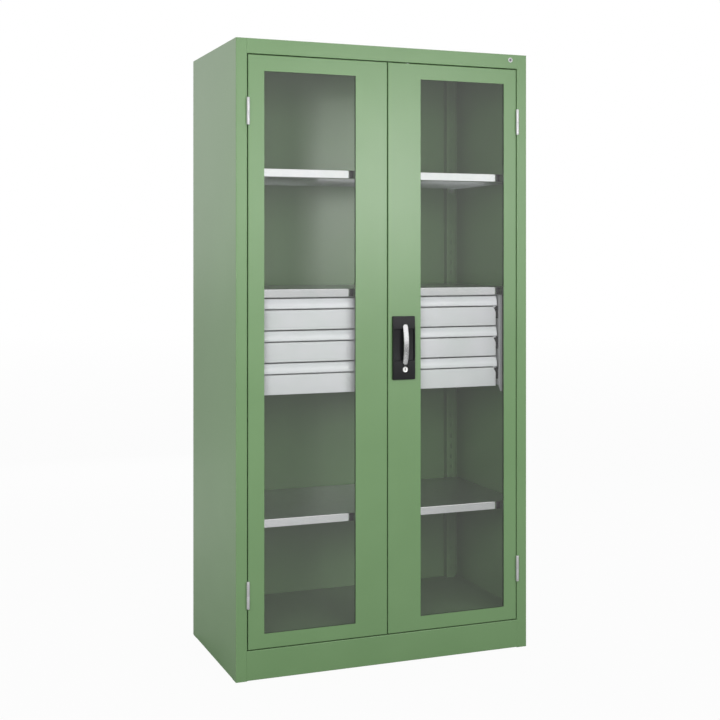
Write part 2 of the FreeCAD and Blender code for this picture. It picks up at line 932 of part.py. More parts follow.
def doors():
    keep_on("left", "left_door_shell", door_sheet("left"))
    above = rod_hole("door_top_hole", "upper_rod_x", "door_top - wall", "door_top")
    below = rod_hole("door_bottom_hole", "lower_rod_x", "door_bottom", "door_bottom + wall")
    spindle_hole = drum(
        "spindle_door_hole",
        "handle_x",
        ("front - overrun", "front + wall + overrun"),
        "handle_pivot_height",
        "spindle_radius + spindle_play",
    )
    key_hole = drum(
        "key_door_hole",
        "handle_x",
        ("front - overrun", "front + wall + overrun"),
        "key_height",
        "cylinder_radius + press_play",
    )
    holes = (above, below, spindle_hole, key_hole)
    keep_on("right", "right_door_shell", cut("right_door_drilled", door_sheet("right"), *holes))
    glazing("right")
    glazing("left")
    span = ("door_bottom + door_lip + overrun", "door_top - door_lip")
    seat = block(
        "strip_seat_bar",
        (minus("strip_seat"), "0"),
        ("door_back", "door_back + strip_thick"),
        span,
    )
    stop = block(
        "strip_stop_bar",
        (minus("strip_thick"), "strip_reach"),
        ("door_back + strip_joggle", "door_back + strip_joggle + strip_thick"),
        span,
    )
    keep(join("left_door_stop_strip", seat, stop))


# Lock plate, bow handle and key cylinder

def lock_plate():
    x = ("door_inner + plate_inset", "door_inner + plate_inset + plate_width")
    top = "plate_bottom_height + plate_tall"
    plate = block("lock_plate_block", x, ("plate_front", "front"), ("plate_bottom_height", top))

    def upright_corners(shape):
        points = [Vector(value(a), 0, value(b)) for a in x for b in ("plate_bottom_height", top)]
        return parallel_edges(shape, Vector(0, 1, 0), points)

    soft = softened("lock_plate_corners", plate, upright_corners, "plate_corner")

    def front_edges(shape):
        level = value("plate_front")
        names = []
        for number, edge in enumerate(shape.Edges, 1):
            if all(abs(v.Point.y - level) < 1e-4 for v in edge.Vertexes):
                names.append(f"Edge{number}")
        return names

    softer = softened("lock_plate_edges", soft, front_edges, "plate_edge", "Part::Chamfer")
    low = "plate_bottom_height + recess_bottom"
    recess = block(
        "finger_recess",
        (f"{x[0]} + recess_rim", f"{x[1]} - recess_rim"),
        ("plate_front - overrun", "plate_front + recess_deep"),
        (low, f"{low} + recess_tall"),
    )
    spindle_hole = drum(
        "spindle_plate_hole",
        "handle_x",
        ("plate_front - overrun", "front + overrun"),
        "handle_pivot_height",
        "spindle_radius + spindle_play",
    )
    cylinder_hole = drum(
        "cylinder_plate_hole",
        "handle_x",
        ("plate_front - overrun", "front + overrun"),
        "key_height",
        "cylinder_radius + press_play",
    )
    keep(cut("lock_plate", softer, recess, spindle_hole, cylinder_hole))


def arc_through(first, middle, last):
    return Part.Arc(first, middle, last).toShape()


def shaped(label, shape):
    feature = doc.addObject("Part::Feature", label)
    feature.Shape = shape
    return feature


def bow_handle():
    # Side view: flat ends on the pads and a bowed middle, drawn in Y and Z and pushed along X
    x = value("handle_x") - value("bow_wide") / 2
    pad = value("plate_front - bow_gap")
    thick = value("bow_thick")
    rise = value("bow_rise")
    radius = value("bow_wide") / 2
    top = value("handle_pivot_height")
    bottom = top - value("bow_long")
    middle = (top + bottom) / 2
    inner_top = Vector(x, pad, top - radius)
    inner_bottom = Vector(x, pad, bottom + radius)
    outer_top = Vector(x, pad - thick, top)
    outer_bottom = Vector(x, pad - thick, bottom)
    edges = [
        arc_through(inner_bottom, Vector(x, pad - rise, middle), inner_top),
        Part.makeLine(inner_top, Vector(x, pad, top + radius)),
        arc_through(
            Vector(x, pad, top + radius),
            Vector(x, pad - thick * math.sqrt(0.5), top + radius * math.sqrt(0.5)),
            outer_top,
        ),
        arc_through(outer_top, Vector(x, pad - thick - rise, middle), outer_bottom),
        arc_through(
            outer_bottom,
            Vector(x, pad - thick * math.sqrt(0.5), bottom - radius * math.sqrt(0.5)),
            Vector(x, pad, bottom - radius),
        ),
        Part.makeLine(Vector(x, pad, bottom - radius), inner_bottom),
    ]
    strap = Part.Face(Part.Wire(edges)).extrude(Vector(value("bow_wide"), 0, 0))
    # Seen from the front the strap has round ends.
    width_mask = Part.makeBox(
        value("bow_wide"),
        2 * (thick + rise),
        top - bottom,
        Vector(x, pad - 2 * (thick + rise), bottom),
    )
    for end in (top, bottom):
        round_end = Part.makeCylinder(
            radius,
            2 * (thick + rise),
            Vector(value("handle_x"), pad - 2 * (thick + rise), end),
            Vector(0, 1, 0),
        )
        width_mask = width_mask.fuse(round_end)
    bow = shaped("handle_bow", strap.common(width_mask).removeSplitter())
    keep(bow)
    keep(drum(
        "handle_spindle",
        "handle_x",
        ("plate_front - bow_gap", "gear_back + gear_back_gap + case_wall"),
        "handle_pivot_height",
        "spindle_radius",
    ))


def key_cylinder():
    z = "key_height"
    span = ("plate_front - cylinder_proud", "front + cylinder_deep")
    barrel = drum("cylinder_barrel", "handle_x", span, z, "cylinder_radius")
    bore = drum(
        "cylinder_bore",
        "handle_x",
        (f"{span[0]} - overrun", f"{span[1]} + overrun"),
        z,
        "plug_radius + plug_play",
    )
    keep(cut("key_cylinder", barrel, bore))
    plug = drum("plug_barrel", "handle_x", (span[0], f"{span[1]} + face_gap"), z, "plug_radius")
    cam = block(
        "plug_cam",
        ("handle_x - plug_radius", "handle_x + key_cam_long"),
        (f"{span[1]} + face_gap", f"{span[1]} + face_gap + key_cam_thick"),
        (f"{z} - plug_radius", f"{z} + plug_radius"),
    )
    keyway = block(
        "keyway",
        ("handle_x - keyway_width / 2", "handle_x + keyway_width / 2"),
        (f"{span[0]} - overrun", f"{span[0]} + keyway_deep"),
        (f"{z} - keyway_tall / 2", f"{z} + keyway_tall / 2"),
    )
    keep(cut("key_plug", join("plug_solid", plug, cam), keyway))


# Rod lock

def round_sketch(body, name, level, radius):
    # A circle round the handle's axis, seen from the front
    sketch = placed_sketch(body, name, "XZ", level, ("handle_x", "handle_pivot_height"))
    sketch.addGeometry(Part.Circle(Vector(), Vector(0, 0, 1), value(radius)), False)
    sketch.addConstraint([
        Sketcher.Constraint("Coincident", 0, 3, -1, 1),
        Sketcher.Constraint("Radius", 0, value(radius)),
    ])
    sketch.setExpression("Constraints[1]", expand(radius))
    return sketch


def space_angle(radius):
    # Half the angle of a tooth space at one radius, from the involute of the base circle
    def flare(at):
        slope = f"sqrt(({at}) ^ 2 / base_radius ^ 2 - 1)"
        return f"({slope} * 180 / pi - atan({slope}) / (1 deg))"

    at_pitch = "half_space / pitch_radius * 180 / pi"
    return f"{at_pitch} - {flare('pitch_radius')} + {flare(radius)}"


def pinion():
    # Involute teeth, cut one space at a time round the handle's axis
    body = doc.addObject("PartDesign::Body", "lock_pinion")
    wheel = body.newObject("PartDesign::Pad", "pinion_wheel")
    wheel.Profile = round_sketch(body, "pinion_outline", "gear_back", "tip_radius")
    bind(wheel, "Length", "gear_thick")
    start = "gear_front - overrun"
    through = "gear_thick + 2 * overrun"
    pocketed(body, round_sketch(body, "pinion_bore", start, "spindle_radius + press_play"), through)
    turns = [("root_radius", space_angle("base_radius"))]
    turns += [(at, space_angle(at)) for at in ("base_radius", "pitch_radius", "tip_radius", "clear_radius")]
    upper = [(f"{at} * cos({turn})", f"{at} * sin({turn})") for at, turn in turns]
    lower = [(across, minus(up)) for across, up in reversed(upper)]
    centre = ("handle_x", "handle_pivot_height")
    space = sketched(body, "pinion_space", "XZ", upper + lower, start, centre)
    cutter = pocketed(body, space, through)
    patterned(body, cutter, "PartDesign::PolarPattern", (space, ["N_Axis"]), "360", "gear_teeth")
    doc.recompute()
    keep(body)


def rack(label, hand):
    # A toothed bar beside the pinion; hand is 1 on its right and -1 on its left
    pivot = "handle_pivot_height"
    line = f"handle_x + {hand} * pitch_radius"
    back = f"handle_x + {hand} * (rod_offset + rod_wide / 2)"
    tip = f"{line} - {hand} * gear_tip"
    low = f"{pivot} - rack_long / 2"
    high = f"{pivot} + rack_long / 2"
    corners = [(tip, low), (back, low), (back, high), (tip, high)]
    body = padded(label, "XZ", corners, ("gear_front", "gear_back"))
    lowest = f"{pivot} - (rack_space_count - 1) * tooth_pitch / 2"
    spread = "tan(gear_pressure_angle)"
    mouth = f"half_space + (gear_tip + overrun) * {spread}"
    bottom = f"half_space - gear_root * {spread}"
    outer = f"{tip} - {hand} * overrun"
    inner = f"{line} + {hand} * gear_root"
    space = sketched(
        body,
        label + "_space",
        "XZ",
        [
            (outer, f"{lowest} - ({mouth})"),
            (inner, f"{lowest} - ({bottom})"),
            (inner, f"{lowest} + {bottom}"),
            (outer, f"{lowest} + {mouth}"),
        ],
        "gear_front - overrun",
    )
    cutter = pocketed(body, space, "gear_thick + 2 * overrun")
    run = "(rack_space_count - 1) * tooth_pitch"
    patterned(body, cutter, "PartDesign::LinearPattern", (space, ["V_Axis"]), run, "rack_space_count")
    doc.recompute()
    return body


def rod(label, x, low, high, hand):
    across = (f"{x} - rod_wide / 2", f"{x} + rod_wide / 2")
    bar = block(f"{label}_bar", across, ("rod_y - rod_thick / 2", "rod_y + rod_thick / 2"), (low, high))
    return join(label, bar, rack(f"{label}_rack", hand))


def rods():
    pivot = "handle_pivot_height"
    above = (f"{pivot} - rack_long / 2", "rail_bottom - rod_short")
    below = ("sill_height + rod_short", f"{pivot} + rack_long / 2")
    keep(rod("upper_rod", "upper_rod_x", *above, 1))
    keep(rod("lower_rod", "lower_rod_x", *below, -1))


def lock_case():
    # A pressed box over the pinion and racks, open to the door sheet
    pivot = "handle_pivot_height"
    x = ("handle_x - case_half", "handle_x + case_half")
    z = (f"{pivot} - case_reach", f"{pivot} + case_reach")
    back = "gear_back + gear_back_gap"
    shell = block("lock_case_shell", x, ("front + wall", f"{back} + case_wall"), z)
    cavity = block(
        "lock_case_cavity",
        (f"{x[0]} + case_wall", f"{x[1]} - case_wall"),
        ("front + wall - overrun", back),
        (f"{z[0]} - overrun", f"{z[1]} + overrun"),
    )
    hole = drum(
        "lock_case_hole",
        "handle_x",
        (f"{back} - overrun", f"{back} + case_wall + overrun"),
        pivot,
        "spindle_radius + spindle_play",
    )
    keep(cut("lock_case", shell, cavity, hole))


def rod_guides():
    pieces = []
    for name, x, z in (
        ("upper", "upper_rod_x", "window_top"),
        ("lower", "lower_rod_x", "window_bottom"),
    ):
        reach = "rod_wide / 2 + rod_play + guide_wall"
        span = (f"{z} - guide_tall / 2", f"{z} + guide_tall / 2")
        body = block(
            f"{name}_guide_body",
            (f"{x} - ({reach})", f"{x} + {reach}"),
            ("front + wall", f"rod_y + {reach}"),
            span,
        )
        pieces.append(cut(f"{name}_guide", body, rod_hole(f"{name}_guide_hole", x, *span)))
    keep(grouped("rod_guides", *pieces))


def rod_keepers():
    pieces = []
    for name, x, low in (
        ("upper", "upper_rod_x", "rail_bottom + wall"),
        ("lower", "lower_rod_x", "sill_height - wall - keeper_thick"),
    ):
        high = f"{low} + keeper_thick"
        plate = block(
            f"{name}_keeper_plate",
            (f"{x} - keeper_size / 2", f"{x} + keeper_size / 2"),
            ("front + wall", "rod_y + keeper_size / 2"),
            (low, high),
        )
        pieces.append(cut(f"{name}_keeper", plate, rod_hole(f"{name}_keeper_hole", x, low, high)))
    keep(grouped("rod_keepers", *pieces))


# Drawer housing under the middle shelf

def housing():
    path = [
        ("housing_half + housing_flange", "housing_front"),
        ("housing_half", "housing_front"),
        ("housing_half", "housing_front + housing_deep"),
    ]
    side = folded("housing_side", "XY", path, ("housing_bottom", "hanger_top"))
    flange = block(
        "housing_hanger",
        ("housing_half", "housing_half + housing_top_flange"),
        ("housing_front", "housing_front + housing_top_deep"),
        ("hanger_top - wall", "hanger_top"),
    )
    plate = join("housing_sheet", side, flange)
    taper = padded(
        "housing_taper_cut",
        "YZ",
        [
            ("housing_front - overrun", "housing_bottom - overrun"),
            ("housing_front + housing_taper", "housing_bottom - overrun"),
            ("housing_front - overrun", "housing_bottom + housing_taper + overrun"),
        ],
        ("housing_half - overrun", "housing_half + housing_flange + overrun"),
    )
    holes = []
    bolts = []
    for end, y in hanger_bolt_spots():
        under = "hanger_top - wall"
        span = (f"{under} - overrun", "hanger_top + overrun")
        holes.append(square_neck(f"hanger_{end}_hole", y, span, "screw_play"))
        neck = square_neck(f"{end}_bolt_neck", y, (under, "hanger_top + bolt_grip"), "0")
        head = doc.addObject("Part::Prism", f"{end}_bolt_head")
        head.Polygon = 6
        bind(head, "Circumradius", "bolt_head_radius")
        bind(head, "Height", "bolt_head_thick")
        bind(head, "Placement.Base.x", "bolt_x")
        bind(head, "Placement.Base.y", y)
        bind(head, "Placement.Base.z", f"{under} - bolt_head_thick")
        bolts.append(join(f"{end}_bolt", neck, head))
    keep(cut("right_housing_plate", plate, taper, *holes))
    keep(mirrored("left_housing_plate", nodes["right_housing_plate"]))
    keep(both_sides("housing_bolts", bolts))
    rear = "housing_front + housing_deep"
    keep(block(
        "housing_tie",
        (minus("housing_half"), "housing_half"),
        (f"{rear} - wall", rear),
        ("housing_bottom + tie_below_drawer", "housing_bottom + tie_below_drawer + tie_tall"),
    ))


def drawer_bottom(number):
    return f"(drawer_lowest + {3 - number} * drawer_pitch)"


def channel(label, outer_x, inner_x, y, low, high, gap):
    # A C section: a web at outer_x and two flanges that reach to inner_x
    return folded(
        label,
        "XZ",
        [(inner_x, low), (outer_x, low), (outer_x, high), (inner_x, high)],
        y,
        side=gap,
        radius=None,
    )


def fixed_slides():
    pieces = []
    span = ("slide_front", "slide_front + slide_long")
    for number in (1, 2, 3):
        low = f"{drawer_bottom(number)} + drawer_slide_rise"
        web = "housing_half"
        rail = channel(f"slide_{number}", web, f"{web} - slide_deep", span, low, f"{low} + slide_tall", -1)
        pieces.append(rail)
    keep(both_sides("fixed_slides", pieces))


def drawer(number):
    bottom = drawer_bottom(number)
    label = f"drawer_{number}"
    half = "drawer_half"
    tray = block(
        f"{label}_box",
        (minus("tray_half"), "tray_half"),
        ("tray_front", "tray_front + tray_deep"),
        (f"{bottom} + tray_rise", f"{bottom} + tray_rise + tray_tall"),
    )
    inside = block(
        f"{label}_inside",
        (minus("tray_half - tray_wall"), "tray_half - tray_wall"),
        ("tray_front + tray_wall", "tray_front + tray_deep - tray_wall"),
        (f"{bottom} + tray_rise + tray_wall", f"{bottom} + tray_rise + tray_tall + overrun"),
    )
    keep(cut(f"{label}_tray", tray, inside))
    front_top = f"{bottom} + drawer_front_tall"
    keep(padded(
        f"{label}_front",
        "XZ",
        [
            (minus(half), bottom),
            (half, bottom),
            (half, f"{front_top} - corner_cut_tall"),
            (f"{half} - corner_cut_wide", front_top),
            (f"corner_cut_wide - {half}", front_top),
            (minus(half), f"{front_top} - corner_cut_tall"),
        ],
        ("drawer_front", "tray_front"),
    ))
    # The grip strip bulges forward to a lower lip, with room for the fingers behind it. The
    # front stops short of the lip.
    lip = f"{front_top} + grip_slot"
    top = f"{lip} + grip_tall"
    shoulder = ("drawer_front - grip_shoulder_reach", f"{top} - grip_shoulder_drop")
    keep(padded(
        f"{label}_grip",
        "YZ",
        [
            ("tray_front", front_top),
            ("tray_front", top),
            ("drawer_front - face_gap", top),
            shoulder,
            ("drawer_front - grip_reach", f"{lip} + grip_lip"),
            ("drawer_front - grip_reach", lip),
            ("drawer_front - grip_reach + grip_wall", lip),
            ("drawer_front - grip_reach + grip_wall", f"{lip} + grip_lip"),
            (f"{shoulder[0]} + grip_wall", shoulder[1]),
            ("drawer_front - face_gap", f"{top} - 2 * grip_wall"),
            ("drawer_front - face_gap", front_top),
        ],
        (minus(half), half),
        [shoulder],
        "grip_round",
    ))
    low = f"{bottom} + drawer_slide_rise + wall + slide_play"
    high = f"{bottom} + drawer_slide_rise + slide_tall - wall - slide_play"
    span = ("tray_front", "tray_front + slide_long")
    runner = channel(f"{label}_runner", "tray_half", "tray_half + runner_deep", span, low, high, 1)
    keep(both_sides(f"{label}_runners", [runner]))


def badge():
    z = "height - badge_drop"
    keep(drum("badge", "badge_x", ("front - badge_thick", "front"), z, "badge_radius"))


side_panel()
back_panel()
top_cap()
floor_panel()
plinth()
base_brackets()
levelling_feet()
uprights()
shelves()
shelf_hooks()
hinges()
doors()
lock_plate()
bow_handle()
key_cylinder()
pinion()
rods()
lock_case()
rod_guides()
rod_keepers()
housing()
fixed_slides()
for number in (1, 2, 3):
    drawer(number)
badge()

doc.recompute()
for item in doc.Objects:
    if "Invalid" in item.State or "Error" in item.State:
        raise ValueError(f"{item.Label} did not build")
for label, item in nodes.items():
    if item.Shape.isNull() or not item.Shape.isValid():
        raise ValueError(f"{label} has no valid shape")
for label, item in nodes.items():
    item.Shape.exportStep(f"parts/{label}.step")
print(len(nodes), "nodes written")
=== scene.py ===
import json
import math

import bmesh
import bpy
from mathutils import Matrix, Vector


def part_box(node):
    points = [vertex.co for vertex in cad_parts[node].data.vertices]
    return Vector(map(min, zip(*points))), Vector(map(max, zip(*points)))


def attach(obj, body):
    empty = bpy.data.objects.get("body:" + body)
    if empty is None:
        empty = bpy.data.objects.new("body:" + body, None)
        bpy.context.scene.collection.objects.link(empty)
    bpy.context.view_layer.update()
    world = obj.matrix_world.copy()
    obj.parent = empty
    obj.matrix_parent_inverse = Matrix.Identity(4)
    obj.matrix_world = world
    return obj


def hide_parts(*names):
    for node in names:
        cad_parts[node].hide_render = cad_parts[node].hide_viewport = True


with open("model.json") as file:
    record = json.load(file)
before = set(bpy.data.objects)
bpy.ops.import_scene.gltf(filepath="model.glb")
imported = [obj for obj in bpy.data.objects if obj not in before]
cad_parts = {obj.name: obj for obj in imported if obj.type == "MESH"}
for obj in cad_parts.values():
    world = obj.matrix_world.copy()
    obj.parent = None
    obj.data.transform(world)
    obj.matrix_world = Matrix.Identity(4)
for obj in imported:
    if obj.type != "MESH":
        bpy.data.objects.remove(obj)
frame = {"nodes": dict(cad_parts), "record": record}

print("frame loaded")

mm = 0.001
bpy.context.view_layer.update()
scene = bpy.context.scene
slotOfNode = {part["node"]: part["material_slot"] for part in frame["record"]["subparts"]}


# Colours and shader nodes

def linear(hexColour):
    channels = [int(hexColour[i:i + 2], 16) / 255 for i in (1, 3, 5)]
    curve = [c / 12.92 if c <= 0.04045 else ((c + 0.055) / 1.055) ** 2.4 for c in channels]
    return (*curve, 1)


def addNode(tree, kind, inputs=None, **settings):
    node = tree.nodes.new(kind)
    for name, setting in settings.items():
        setattr(node, name, setting)
    for socket, source in (inputs or {}).items():
        if isinstance(source, bpy.types.NodeSocket):
            tree.links.new(source, node.inputs[socket])
        else:
            node.inputs[socket].default_value = source
    return node


def newMaterial(name):
    material = bpy.data.materials.new(name)
    material.use_nodes = True
    tree = material.node_tree
    tree.nodes.clear()
    place = addNode(tree, "ShaderNodeTexCoord").outputs["Object"]
    return material, tree, place


def noiseAt(tree, place, grainMm, detail=2.0):
    # one noise cell is about grainMm wide on the piece
    noise = addNode(tree, "ShaderNodeTexNoise", {
        "Vector": place, "Scale": 1 / (grainMm * mm), "Detail": detail, "Roughness": 0.55})
    return noise.outputs["Fac"]


def blended(tree, factor, first, second):
    blend = addNode(tree, "ShaderNodeMix", {"Factor": factor, "A": first, "B": second}, data_type="RGBA")
    return blend.outputs["Result"]


def toned(tree, factor, lowHex, highHex, low=0.35, high=0.65):
    # two tones of one colour, the first where the factor is low
    spread = addNode(tree, "ShaderNodeMapRange", {
        "Value": factor, "From Min": low, "From Max": high})
    return blended(tree, spread.outputs["Result"], linear(lowHex), linear(highHex))


def roughened(tree, factor, roughness, spread):
    # roughness that varies by spread both ways; noise keeps mostly to 0.3 to 0.7
    varied = addNode(tree, "ShaderNodeMapRange", {
        "Value": factor, "From Min": 0.3, "From Max": 0.7,
        "To Min": roughness - spread, "To Max": roughness + spread})
    return varied.outputs["Result"]


def bumped(tree, height, heightMm):
    return addNode(tree, "ShaderNodeBump", {
        "Height": height, "Distance": heightMm * mm, "Strength": 1.0}).outputs["Normal"]


def finishMaterial(tree, **sockets):
    shader = addNode(tree, "ShaderNodeBsdfPrincipled", sockets)
    addNode(tree, "ShaderNodeOutputMaterial", {"Surface": shader.outputs["BSDF"]})


def powderCoat(name, dark, light, roughness):
    # Sprayed and baked paint on sheet steel: satin, with a faint orange peel and a slow drift in tone
    coat = {"driftMm": 260, "peelMm": 3.2, "peelDeepMm": 0.05, "roughSpread": 0.03,
            "gloss": 0.35, "glossRough": 0.3}
    material, tree, place = newMaterial(name)
    drift = noiseAt(tree, place, coat["driftMm"])
    peel = noiseAt(tree, place, coat["peelMm"])  # real peel is about 1.5 mm, drawn coarser so that it shows
    finishMaterial(tree, **{
        "Base Color": toned(tree, drift, dark, light),
        "Roughness": roughened(tree, peel, roughness, coat["roughSpread"]),
        "Specular IOR Level": 0.5,
        "Coat Weight": coat["gloss"],
        "Coat Roughness": coat["glossRough"],
        "Normal": bumped(tree, peel, coat["peelDeepMm"])})
    return material


def platedSteel(name, dark, light, grainMm, roughness, heightMm, metallic=1.0):
    # Zinc or nickel on steel: a bright metal whose grains catch the light a little differently. A pale
    # passivated film makes zinc milky, so it is less than wholly metallic.
    material, tree, place = newMaterial(name)
    grain = noiseAt(tree, place, grainMm, 3.0)
    finishMaterial(tree, **{
        "Base Color": toned(tree, grain, dark, light),
        "Metallic": metallic,
        "Roughness": roughened(tree, grain, roughness, 0.03),
        "Normal": bumped(tree, grain, heightMm)})
    return material


def galvanisedSheet():
    # Skin-passed galvanised sheet: nearly a mirror, with a faint spangle from the zinc crystals. Its
    # top faces are rougher, and their colour is darker as painted shade.
    sheet = {"spangleMm": 14, "edgeRough": 0.11, "topRough": 0.32, "topFrom": 0.6, "topTo": 0.8,
             "edgeTones": ("#F7F9FB", "#FAFBFC"), "paintedShadeTopTones": ("#B9BBBD", "#BFC1C3")}
    material, tree, place = newMaterial("galvanisedSheet")
    spangle = addNode(tree, "ShaderNodeTexVoronoi", {
        "Vector": place, "Scale": 1 / (sheet["spangleMm"] * mm)}, feature="F1").outputs["Color"]
    tint = addNode(tree, "ShaderNodeRGBToBW", {"Color": spangle}).outputs["Val"]
    facing = addNode(tree, "ShaderNodeSeparateXYZ", {
        "Vector": addNode(tree, "ShaderNodeNewGeometry").outputs["True Normal"]}).outputs["Z"]
    top = addNode(tree, "ShaderNodeMapRange", {
        "Value": facing, "From Min": sheet["topFrom"], "From Max": sheet["topTo"]}).outputs["Result"]
    edgeColour = toned(tree, tint, *sheet["edgeTones"], 0.2, 0.8)
    # painted shade: faces that point upwards get a darker colour than the edges
    paintedShadeTopColour = toned(tree, tint, *sheet["paintedShadeTopTones"], 0.2, 0.8)
    finishMaterial(tree, **{
        "Base Color": blended(tree, top, edgeColour, paintedShadeTopColour),
        "Metallic": 1.0,
        "Roughness": addNode(tree, "ShaderNodeMapRange", {
            "Value": top, "To Min": sheet["edgeRough"], "To Max": sheet["topRough"]}).outputs["Result"]})
    return material


def clearAcrylic():
    # Cast acrylic sheet: clear, with a polished outer face that mirrors the room faintly, and a slight
    # milky veil
    sheet = {"ior": 1.49, "gleam": 0.8, "polish": 0.05, "veil": 0.055, "hazeMm": 90}
    material, tree, place = newMaterial("clearAcrylic")
    inside = addNode(tree, "ShaderNodeNewGeometry").outputs["Backfacing"]
    fresnel = addNode(tree, "ShaderNodeFresnel", {"IOR": sheet["ior"]}).outputs["Fac"]
    outward = addNode(tree, "ShaderNodeMath", {0: 1.0, 1: inside}, operation="SUBTRACT").outputs["Value"]
    once = addNode(tree, "ShaderNodeMath", {0: fresnel, 1: outward}, operation="MULTIPLY").outputs["Value"]
    gleam = addNode(tree, "ShaderNodeMath", {
        0: once, 1: sheet["gleam"]}, operation="MULTIPLY").outputs["Value"]
    haze = noiseAt(tree, place, sheet["hazeMm"])
    clear = addNode(tree, "ShaderNodeBsdfTransparent", {
        "Color": toned(tree, haze, "#FCFDFC", "#FEFEFE")}).outputs["BSDF"]
    dust = addNode(tree, "ShaderNodeBsdfDiffuse", {"Color": linear("#F0F0EE")}).outputs["BSDF"]
    veil = addNode(tree, "ShaderNodeMath", {
        0: outward, 1: sheet["veil"]}, operation="MULTIPLY").outputs["Value"]
    hazy = addNode(tree, "ShaderNodeMixShader", {0: veil, 1: clear, 2: dust}).outputs["Shader"]
    mirror = addNode(tree, "ShaderNodeBsdfGlossy", {"Roughness": sheet["polish"]}).outputs["BSDF"]
    both = addNode(tree, "ShaderNodeMixShader", {0: gleam, 1: hazy, 2: mirror}).outputs["Shader"]
    addNode(tree, "ShaderNodeOutputMaterial", {"Surface": both})
    return material


def mouldedPlastic(name, dark, light, grainMm, heightMm, roughness, specular=0.5):
    # Injection-moulded plastic or rubber: dark, with the fine spark-eroded grain of its mould
    material, tree, place = newMaterial(name)
    grain = noiseAt(tree, place, grainMm)
    finishMaterial(tree, **{
        "Base Color": toned(tree, grain, dark, light),
        "Specular IOR Level": specular,
        "Roughness": roughened(tree, grain, roughness, 0.05),
        "Normal": bumped(tree, grain, heightMm)})
    return material


def satinMetal(name, dark, light, roughness, stretch):
    # Die-cast or extruded metal with a satin face: fine lines along one direction
    brushing = {"apartMm": 0.8, "deepMm": 0.01, "roughSpread": 0.04}
    material, tree, place = newMaterial(name)
    stretched = addNode(tree, "ShaderNodeMapping", {"Vector": place, "Scale": stretch}).outputs["Vector"]
    grain = noiseAt(tree, stretched, brushing["apartMm"], 3.0)
    finishMaterial(tree, **{
        "Base Color": toned(tree, grain, dark, light),
        "Metallic": 1.0,
        "Roughness": roughened(tree, grain, roughness, brushing["roughSpread"]),
        "Normal": bumped(tree, grain, brushing["deepMm"])})
    return material


def etchedBadge():
    # Stamped aluminium disc: a bright turned rim round an etched, greyer middle
    disc = {"etchedMm": 4.3, "brightMm": 5.2, "etchedRough": 0.42, "brightRough": 0.24}
    material, tree, place = newMaterial("etchedBadgeAluminium")
    low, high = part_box("badge")
    offset = addNode(tree, "ShaderNodeVectorMath", {
        0: place, 1: (low + high) / 2}, operation="SUBTRACT").outputs["Vector"]
    flat = addNode(tree, "ShaderNodeVectorMath", {
        0: offset, 1: (1, 0, 1)}, operation="MULTIPLY").outputs["Vector"]
    outwards = addNode(tree, "ShaderNodeVectorMath", {0: flat}, operation="LENGTH").outputs["Value"]
    rim = addNode(tree, "ShaderNodeMapRange", {
        "Value": outwards, "From Min": disc["etchedMm"] * mm,
        "From Max": disc["brightMm"] * mm}).outputs["Result"]
    finishMaterial(tree, **{
        "Base Color": toned(tree, rim, "#8E8A92", "#E4E5E6", 0.0, 1.0),
        "Metallic": 1.0,
        "Roughness": addNode(tree, "ShaderNodeMapRange", {
            "Value": rim, "To Min": disc["etchedRough"], "To Max": disc["brightRough"]}).outputs["Result"]})
    return material


finishes = {
    "green_paint": powderCoat("resedaPowderCoat", "#638358", "#66865B", 0.38),
    "grey_paint": powderCoat("lightGreyPowderCoat", "#BABCBE", "#BFC1C3", 0.42),
    "grip_grey": powderCoat("gripGreyCoat", "#BBBDC0", "#C1C3C6", 0.34),
    "clear_acrylic": clearAcrylic(),
    "black_rubber": mouldedPlastic("blackGasketRubber", "#121212", "#181818", 1.2, 0.05, 0.65),
    "aluminium_profile": satinMetal("darkAnodisedAluminium", "#4A494C", "#545356", 0.4, (1, 1, 0.05)),
    "hinge_zinc": platedSteel("paleZincPlate", "#CBCBCD", "#D3D3D5", 2.5, 0.36, 0.01, 0.7),
    "bright_zinc": platedSteel("brightZincPlate", "#BEC2C6", "#D2D5D8", 4, 0.24, 0.01),
    "galvanised_sheet": galvanisedSheet(),
    "black_plastic": mouldedPlastic("blackMouldedAbs", "#101012", "#161618", 0.9, 0.03, 0.48, 0.3),
    "silver_handle": satinMetal("satinDieCastZinc", "#ECECED", "#F6F6F7", 0.27, (1, 1, 0.1)),
    "nickel_plate": platedSteel("nickelPlate", "#EEEEEC", "#F6F6F4", 2, 0.42, 0.005),
    "badge_aluminium": etchedBadge(),
}

# the inside floor's coat is rougher than the walls', and its colour is darker as painted shade
paintedShadeFloor = powderCoat("paintedShadeFloorCoat", "#576E4F", "#5B7353", 0.48)

for nodeName, node in frame["nodes"].items():
    node.data.materials.clear()
    # the floor panel takes the darker coat: painted shade
    finish = paintedShadeFloor if nodeName == "floor_panel" else finishes[slotOfNode[nodeName]]
    node.data.materials.append(finish)

print("materials ready")


# Making pieces

smoothDegrees = 32  # edges sharper than this stay crisp


def boxIn(bm, low, high):
    # a box between two corners given in millimetres
    low, high = Vector(low) * mm, Vector(high) * mm
    size = Matrix.Diagonal((*(high - low), 1))
    made = bmesh.ops.create_cube(bm, size=1, matrix=Matrix.Translation((low + high) / 2) @ size)
    return made["verts"]


def bevelled(bm, edges, widthMm, segments=3):
    bmesh.ops.bevel(bm, geom=edges, offset=widthMm * mm, offset_type="OFFSET", affect="EDGES",
                    segments=segments, profile=0.5, material=-1, clamp_overlap=True)


def sliced(bm, point, direction, **options):
    # an edge loop all round, where a plane through a point in metres meets the mesh
    geometry = bm.verts[:] + bm.edges[:] + bm.faces[:]
    return bmesh.ops.bisect_plane(bm, geom=geometry, dist=1e-8, plane_co=point, plane_no=direction,
                                  **options)["geom_cut"]


def vertsIn(geometry):
    return [item for item in geometry if isinstance(item, bmesh.types.BMVert)]


def edgesIn(geometry):
    return [item for item in geometry if isinstance(item, bmesh.types.BMEdge)]


